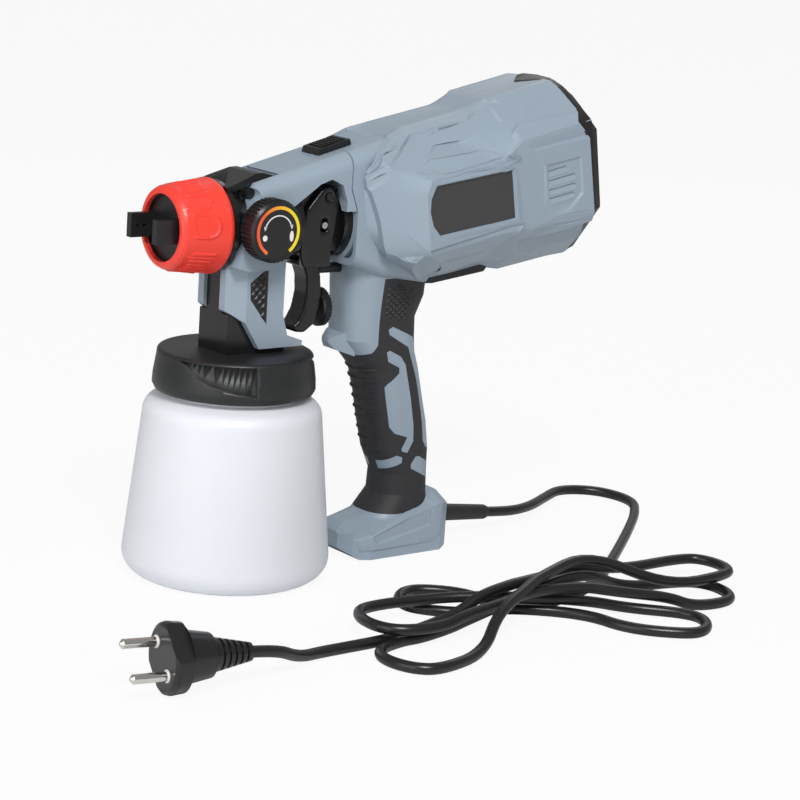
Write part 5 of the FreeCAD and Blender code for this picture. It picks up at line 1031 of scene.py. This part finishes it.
def softened(node_name, name, voxel, rounds):
    """A copy of a node with its edges rounded by remeshing and smoothing it."""
    item = node_copy(node_name, name)
    modifier(item, "REMESH", mode="VOXEL", voxel_size=voxel, use_smooth_shade=True)
    modifier(item, "SMOOTH", factor=0.5, iterations=rounds)
    applied(item)
    item.data.shade_smooth()
    return item


def foot_skin(name, tree, side):
    """The skin on one side of the foot, with a sunk panel in it."""
    marks = [(FOOT_PANEL, 0.7, lambda x, z: 0.12)]
    xs, zs = zip(*FOOT_OUTLINE)
    grid = [(x, z) for z, x in rows_of(min(zs) + 1.5, max(zs), 3.0, min(xs) + 1.5, max(xs), 3.0)
            if polygon_distance(x, z, FOOT_OUTLINE) > 0.6]

    def layers(x, z):
        spot, _ = cast(tree, (x, side * 80, z), (0, -side, 0))
        if spot is None:
            spot = Vector((x, 0, z))
        level = marked(ramp(polygon_distance(x, z, FOOT_OUTLINE), 0.0, 1.2, 0.1, 0.9), x, z, marks)
        return spot + Vector((0, side * level, 0)), spot - Vector((0, side * 0.8, 0))

    return closed_skin(name, FOOT_OUTLINE, moved_marks(marks), grid, layers)


def ring_relief(along, angle):
    """Height of the raised lines and ridges at a place on the ring, in millimetres."""
    turn = (math.degrees(angle) + 35.0) % 120.0 - 35.0
    reach = math.radians(23.4)
    best = 0.0
    lines = [[(x, a * reach) for x, a in line] for line in RING_LINES]
    for line in lines:
        gap = stroke_distance(along, turn * reach, line)
        best = max(best, 1.0 - max(gap - 0.35, 0.0) / 0.5)
    for place, start, end in RING_RIDGES:
        away = abs(turn - place) * reach
        ends = min(along - start, end - along)
        best = max(best, min(1.0 - max(away - 0.45, 0.0) / 0.7, ends / 0.8))
    if best > 0:
        return best * 0.6
    return -0.25 if polygon_distance(along, turn * reach, lines[0]) > 0.8 else 0.0


def lead_curve(name, route, radius):
    """A round lead along one smooth spline through a route of points in millimetres."""
    curve = bpy.data.curves.new(name, "CURVE")
    curve.dimensions = "3D"
    spline = curve.splines.new("NURBS")
    spline.points.add(len(route) - 1)
    for point, place in zip(spline.points, route):
        point.co = (*(Vector(place) * MM), 1.0)
    spline.order_u = 3
    spline.use_endpoint_u = True
    spline.resolution_u = 6
    curve.bevel_depth = radius
    curve.bevel_resolution = 5
    curve.use_fill_caps = True
    return add_object(name, curve)


def seen_white(tree, lit, glow, share, surface):
    """Show a share of a plain white shader to the camera and through clear pieces."""
    rays = node(tree, "ShaderNodeLightPath").outputs
    mix = node(tree, "ShaderNodeMixShader")
    straight = maths(tree, "ADD", rays["Is Camera Ray"], rays["Is Transmission Ray"], clamp=True)
    link(tree, maths(tree, "MULTIPLY", straight, share), mix.inputs["Fac"],
         lit.outputs[0], mix.inputs[1], glow.outputs[0], mix.inputs[2],
         mix.outputs[0], surface.inputs["Surface"])


# The steps that build the spray gun

class SPRAYGUN_OT_stage(Operator):
    """Set up the camera, the floor, the backdrop and the lamps"""
    bl_idname = "spraygun.stage"
    bl_label = "Stage"

    def execute(self, context):
        camera = bpy.data.cameras.new("camera")
        camera.sensor_width = SENSOR_WIDTH
        camera.lens = LENS_PER_SENSOR * SENSOR_WIDTH
        camera.clip_end = 50.0
        a, e = CAMERA_AZIMUTH, CAMERA_ELEVATION
        back = Vector((math.sin(a) * math.cos(e), -math.cos(a) * math.cos(e), math.sin(e)))
        right = Vector((math.cos(a), math.sin(a), 0.0))
        up = back.cross(right)
        c, s = math.cos(CAMERA_ROLL), math.sin(CAMERA_ROLL)
        basis = Matrix((right * c + up * s, up * c - right * s, back)).transposed()
        item = add_object("camera", camera)
        item.matrix_world = (Matrix.Translation(CAMERA_TARGET + back * CAMERA_DISTANCE)
                             @ basis.to_4x4())
        context.scene.camera = item
        self.floor()
        self.lamps(context)
        context.scene.view_settings.view_transform = "Standard"
        return {"FINISHED"}

    def floor(self):
        half = settings().floor_size / 2
        mesh = bpy.data.meshes.new("floor")
        mesh.from_pydata([(-half, -half, 0), (half, -half, 0), (half, half, 0),
                          (-half, half, 0)], [], [(0, 1, 2, 3)])
        floor = add_object("floor", mesh)
        floor.location.z = -0.0002
        material, tree, shader = new_material("studio_floor", Base_Color=(0.82, 0.82, 0.82, 1),
                                              Roughness=0.8, Specular_IOR_Level=0.1)
        seen_white(tree, shader, node(tree, "ShaderNodeEmission", Strength=1.0),
                   FLOOR_WHITE_SHARE, tree.nodes["Material Output"])
        mesh.materials.append(material)

    def lamps(self, context):
        world = bpy.data.worlds.new("studio")
        context.scene.world = world
        world.use_nodes = True
        tree = world.node_tree
        white = (1, 1, 1, 1)
        ground = preset(tree.nodes["Background"], Color=white, Strength=0.3)
        seen_white(tree, ground, node(tree, "ShaderNodeBackground", Color=white, Strength=1.0),
                   1.0, tree.nodes["World Output"])
        for name, place, size, power in LAMPS:
            lamp = bpy.data.lights.new(name, "AREA")
            lamp.size = size
            lamp.energy = power
            item = add_object(name, lamp)
            item.location = place
            aim = LAMP_AIM - Vector(place)
            item.rotation_euler = aim.to_track_quat("-Z", "Y").to_euler()


class SPRAYGUN_OT_finishes(Operator):
    """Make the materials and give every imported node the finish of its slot"""
    bl_idname = "spraygun.finishes"
    bl_label = "Finishes"

    def execute(self, context):
        make_finishes()
        for row in frame["record"]["subparts"]:
            name = row["node"]
            materials = frame["nodes"][name].data.materials
            materials.clear()
            materials.append(FINISH[FINER_FINISHES.get(name, row["material_slot"])])
        return {"FINISHED"}


class SPRAYGUN_OT_cord(Operator):
    """Lay the cord from the strain relief through its loops to the plug"""
    bl_idname = "spraygun.cord"
    bl_label = "Cord"

    def execute(self, context):
        radius = settings().cord_radius
        cord = lead_curve("power_cord", CORD_ROUTE, radius)
        dress(cord, "cord_sheath", "body",
              ("cord_lead", "cord_hank", "cord_tail"))
        return {"FINISHED"}


class SPRAYGUN_OT_housing(Operator):
    """Lay the faceted skin over the motor housing and the black band behind it"""
    bl_idname = "spraygun.housing"
    bl_label = "Housing"

    def execute(self, context):
        marks = housing_marks()
        cover_outline = FRONT_OUTLINE + REAR_OUTLINE[::-1]
        stations = [row[0] for row in HOUSING_SIZES[1:6]]
        trim_outline = [(s - 1.2, w) for s, w in REAR_OUTLINE]
        trim_outline += [(TRIM_END, HALF_GIRTH), (TRIM_END, 0)]
        for side, label in SIDES:
            cover = facet_skin("housing_facets_" + label, side, cover_outline, housing_relief,
                               marks, stations)
            dress(cover, "grey_plastic", "body")
            trim = facet_skin("rear_trim_" + label, side, trim_outline,
                              lambda s, w, marks: ramp(w, 8, 14, 1.3, 0.5), step=6.0)
            dress(trim, "black_plastic", "body")
        return {"FINISHED"}


class SPRAYGUN_OT_ring(Operator):
    """Turn the red ring with its raised loops and grip ridges"""
    bl_idname = "spraygun.ring"
    bl_label = "Nozzle ring"

    def execute(self, context):
        outside = divided([(-51.3, 20.0, 0), (-50.3, 21.4, 0), (-48.3, 22.4, 1),
                           (-25.4, 25.4, 1), (-24.0, 25.7, 0), (-22.9, 25.6, 0),
                           (-21.4, 24.6, 0)],
                          lambda a, b: round(math.dist(a[:2], b[:2]) / 0.55))
        profile = outside + [(-21.2, 20.7, 0), (-48.7, 20.7, 0), (-48.7, 17.95, 0),
                             (-51.2, 17.95, 0)]
        points, faces = turned(profile, 420, ring_relief)
        ring = solid("nozzle_ring", [p + Vector((0, 0, NOZZLE_HEIGHT)) for p in points], faces)
        dress(ring, "red_plastic", "nut", ("union_nut",))
        return {"FINISHED"}


class SPRAYGUN_OT_wheel(Operator):
    """Add the flow wheel's grip ribs, its coloured ring and its white marks"""
    bl_idname = "spraygun.wheel"
    bl_label = "Flow wheel"

    def execute(self, context):
        x, z = WHEEL_MIDDLE
        ribs_round("wheel_ribs", rounded_block(8.8, 1.15, 0.85, 0.35), settings().wheel_ribs,
                   (x, WHEEL_RIB_PLACE, z), (1, 0, 0), WHEEL_RADIUS, (0, 1, 0),
                   "wheel_plastic", "wheel")
        arc_radius = 8.62
        parts = [flat_ring(8.3, 8.95, 18, 164, PRINT_HEIGHT, 60)]
        flat = []
        for angle, turn in ((8, -1), (174.5, 1)):
            a = math.radians(angle)
            out = Vector((math.cos(a), math.sin(a)))
            tip = Vector(WHEEL_MIDDLE) + out * arc_radius
            base = tip + Vector((math.sin(a), -math.cos(a))) * 2.2 * turn
            flat.append([tuple(tip), tuple(base + out * 0.95), tuple(base - out * 0.95)])
        flat += [ellipse(x - 8.3, z - 3.0, 1.45, 1.6), ellipse(x + 8.6, z - 2.55, 1.25, 2.85)]
        parts += [bar(outline, WHEEL_FACE - PRINT_HEIGHT, WHEEL_FACE + 0.3) for outline in flat]
        for name, shape, finish in (
                ("wheel_rim", flat_ring(14.0, 15.0, 0, 360, 0.35, 96), "wheel_plastic"),
                ("wheel_colour_ring", flat_ring(11.9, 13.7, -54, 240, PRINT_HEIGHT, 110),
                 "wheel_ring_print"),
                ("wheel_marks", grouped(parts), "white_print")):
            dress(solid(name, *shape, 30.0), finish, "wheel")
        return {"FINISHED"}


class SPRAYGUN_OT_trigger(Operator):
    """Round the trigger's edges and rib the volume knob behind it"""
    bl_idname = "spraygun.trigger"
    bl_label = "Trigger"

    def execute(self, context):
        lever = softened("trigger", "trigger_lever", TRIGGER_VOXEL, TRIGGER_ROUNDS)
        dress(lever, "gloss_black", "trigger", ("trigger",))
        ribs_round("knob_ribs", rounded_block(4.0, 1.0, 0.7, 0.3), settings().knob_ribs,
                   KNOB_MIDDLE, (0, 1, 0), KNOB_RADIUS, (1, 0, 0), "black_plastic", "knob")
        return {"FINISHED"}


class SPRAYGUN_OT_hood(Operator):
    """Hollow the hood's sides round their screws and rib the latch button"""
    bl_idname = "spraygun.hood"
    bl_label = "Hood and latch"

    def execute(self, context):
        hood = node_copy("front_hood", "hood_shell")
        cut(hood, [bar(HOOD_CROWN, -30, 30)] + both_sides(HOOD_RECESS, 13.2, 22), 35.0)
        cut(hood, both_sides(HOOD_SLOT, 8.5, 22), 30.0)
        dress(hood, "gloss_black", "head", ("front_hood",))
        bosses = solid("hood_bosses", *grouped(both_sides(HOOD_BOSS, 12.2, 14.9)), 20.0)
        dress(bosses, "gloss_black", "head")
        spots = []
        for i in range(7):
            x = 46.0 + 2.3 * i
            spots.append(((x, 0, LATCH_TOP + LATCH_SLOPE * x), (-0.249, 0, 0.968), (0, 1, 0)))
        set_stamps("latch_ribs", rounded_block(12.6, 1.0, 0.55, 0.25), spots, "gloss_black",
                   "latch")
        return {"FINISHED"}


class SPRAYGUN_OT_neck(Operator):
    """Set the diamonds into the neck's two inserts"""
    bl_idname = "spraygun.neck"
    bl_label = "Neck inserts"

    def execute(self, context):
        for side, label in SIDES:
            spots = pattern_spots(surface_of("neck_insert_" + label), side, NECK_INSERT, 4.6,
                                  2.35, 0.9)
            set_stamps("neck_diamonds_" + label, lozenge(2.0, 2.0, 0.55), spots, "lid_plastic",
                       "head")
        return {"FINISHED"}


class SPRAYGUN_OT_lid(Operator):
    """Cut the curved ramps into the container's lid"""
    bl_idname = "spraygun.lid"
    bl_label = "Container lid"

    def execute(self, context):
        line = divided(LID_RAMP + LID_RAMP[:1], lambda a, b: int(abs(b[0] - a[0]) / 4))[:-1]
        parts = []
        for turn in (0.0, 120.0, 240.0):
            corners = []
            for outside in (False, True):
                for a, z in line:
                    floor = LID_RADIUS - LID_TAPER * (z - LID_FOOT) - LID_CUT
                    radius = 50.0 if outside else floor
                    b = math.radians(a + turn)
                    corners.append((radius * math.cos(b), radius * math.sin(b), z))
            parts.append((corners, tube_faces(2, len(line), False)))
        lid = cut(node_copy("container_lid", "lid_shell"), parts, 28.0, in_triangles=True)
        dress(lid, "lid_plastic", "head", ("container_lid",))
        return {"FINISHED"}


class SPRAYGUN_OT_grips(Operator):
    """Set the finger ridges and the fine diamonds on the rubber grips"""
    bl_idname = "spraygun.grips"
    bl_label = "Grips"

    def execute(self, context):
        for side, label in SIDES:
            tree = surface_of("grip_" + label)
            parts = []
            for end, height in GRIP_GROOVES:
                middle = between(HANDLE_MIDDLES, height)[0]
                places, ways = [], []
                for k in range(15):
                    share = k / 14
                    turn = math.radians(4 + 100 * share)
                    way = Vector((-math.cos(turn), side * math.sin(turn), 0))
                    start = Vector((middle, 0, height - 2.2 * (1 - share))) + way * 60
                    place, normal = cast(tree, start, -way)
                    if place is None or place.x > end:
                        break
                    places.append(place)
                    ways.append(normal)
                if len(places) > 3:
                    parts.append(rib_along(places, ways, 1.6, 1.0))
            ridges = solid("grip_ridges_" + label, *grouped(parts))
            dress(ridges, "grip_rubber", "body")
            set_stamps("grip_diamonds_" + label, lozenge(1.95, 1.4, 0.7),
                       pattern_spots(tree, side, GRIP_PATCH, 4.4, 1.75, 0.5),
                       "grip_rubber", "body")
        return {"FINISHED"}


class SPRAYGUN_OT_foot(Operator):
    """Lay the foot's side panels and the rubber rail under the housing"""
    bl_idname = "spraygun.foot"
    bl_label = "Foot and rail"

    def execute(self, context):
        for side, label in SIDES:
            cover = foot_skin("foot_panel_" + label, surface_of("housing_" + label), side)
            dress(cover, "grey_plastic", "body")
        points, faces = bar(RAIL_OUTLINE, -19.0, 19.0)
        strip = solid("housing_rail", [housing_place(*p) for p in points], faces, 30.0)
        modifier(strip, "BEVEL", width=0.0008, segments=2, limit_method="ANGLE",
                 angle_limit=math.radians(30))
        dress(applied(strip), "grip_rubber", "body")
        return {"FINISHED"}


class SPRAYGUN_OT_plug(Operator):
    """Put the white collars round the plug's pins and run the lead inside the handle"""
    bl_idname = "spraygun.plug"
    bl_label = "Plug and inner lead"

    def execute(self, context):
        lie = Matrix.Translation(PLUG_PLACE)
        for axis, turn in PLUG_TURNS:
            lie = lie @ Matrix.Rotation(math.radians(turn), 4, axis)
        profile = [(0.6, 2.05, 0), (-0.9, 2.05, 0), (-0.9, 2.9, 0), (-0.6, 3.2, 0), (0.6, 3.2, 0)]
        parts = []
        for across in (-PIN_PITCH / 2, PIN_PITCH / 2):
            points, faces = turned(profile, 28)
            parts.append(([lie @ (p + Vector((0, across, 0))) for p in points], faces))
        collars = solid("pin_collars", *grouped(parts), 35.0)
        dress(collars, "white_sleeve", "body")
        lead = lead_curve("handle_lead", LEAD_ROUTE, LEAD_RADIUS)
        dress(lead, "cord_sheath", "body", ("inner_lead",))
        return {"FINISHED"}


OPERATORS = [SPRAYGUN_OT_stage, SPRAYGUN_OT_finishes, SPRAYGUN_OT_cord, SPRAYGUN_OT_housing,
             SPRAYGUN_OT_ring, SPRAYGUN_OT_wheel, SPRAYGUN_OT_trigger, SPRAYGUN_OT_hood,
             SPRAYGUN_OT_neck, SPRAYGUN_OT_lid, SPRAYGUN_OT_grips, SPRAYGUN_OT_foot,
             SPRAYGUN_OT_plug]


class SPRAYGUN_PT_panel(Panel):
    """Lists the steps that build the spray gun"""
    bl_idname = "SPRAYGUN_PT_panel"
    bl_label = "Spray gun"
    bl_space_type = "VIEW_3D"
    bl_region_type = "UI"
    bl_category = "Spray gun"

    def draw(self, context):
        layout = self.layout
        for group in (context.scene.spray_gun_sizes, context.scene.spray_gun_colours):
            for key in group.__annotations__:
                layout.prop(group, key)
        for kind in OPERATORS:
            layout.operator(kind.bl_idname)


CLASSES = [GunSizes, GunColours] + OPERATORS + [SPRAYGUN_PT_panel]


def register():
    for kind in CLASSES:
        bpy.utils.register_class(kind)
    bpy.types.Scene.spray_gun_sizes = PointerProperty(type=GunSizes)
    bpy.types.Scene.spray_gun_colours = PointerProperty(type=GunColours)


def unregister():
    del bpy.types.Scene.spray_gun_sizes
    del bpy.types.Scene.spray_gun_colours
    for kind in reversed(CLASSES):
        bpy.utils.unregister_class(kind)


def main():
    register()
    for item in [o for o in bpy.data.objects if o.name in ("Cube", "Camera", "Light")]:
        drop(item)
    for kind in OPERATORS:
        group, label = kind.bl_idname.split(".")
        getattr(getattr(bpy.ops, group), label)()


if __name__ == "__main__":
    main()
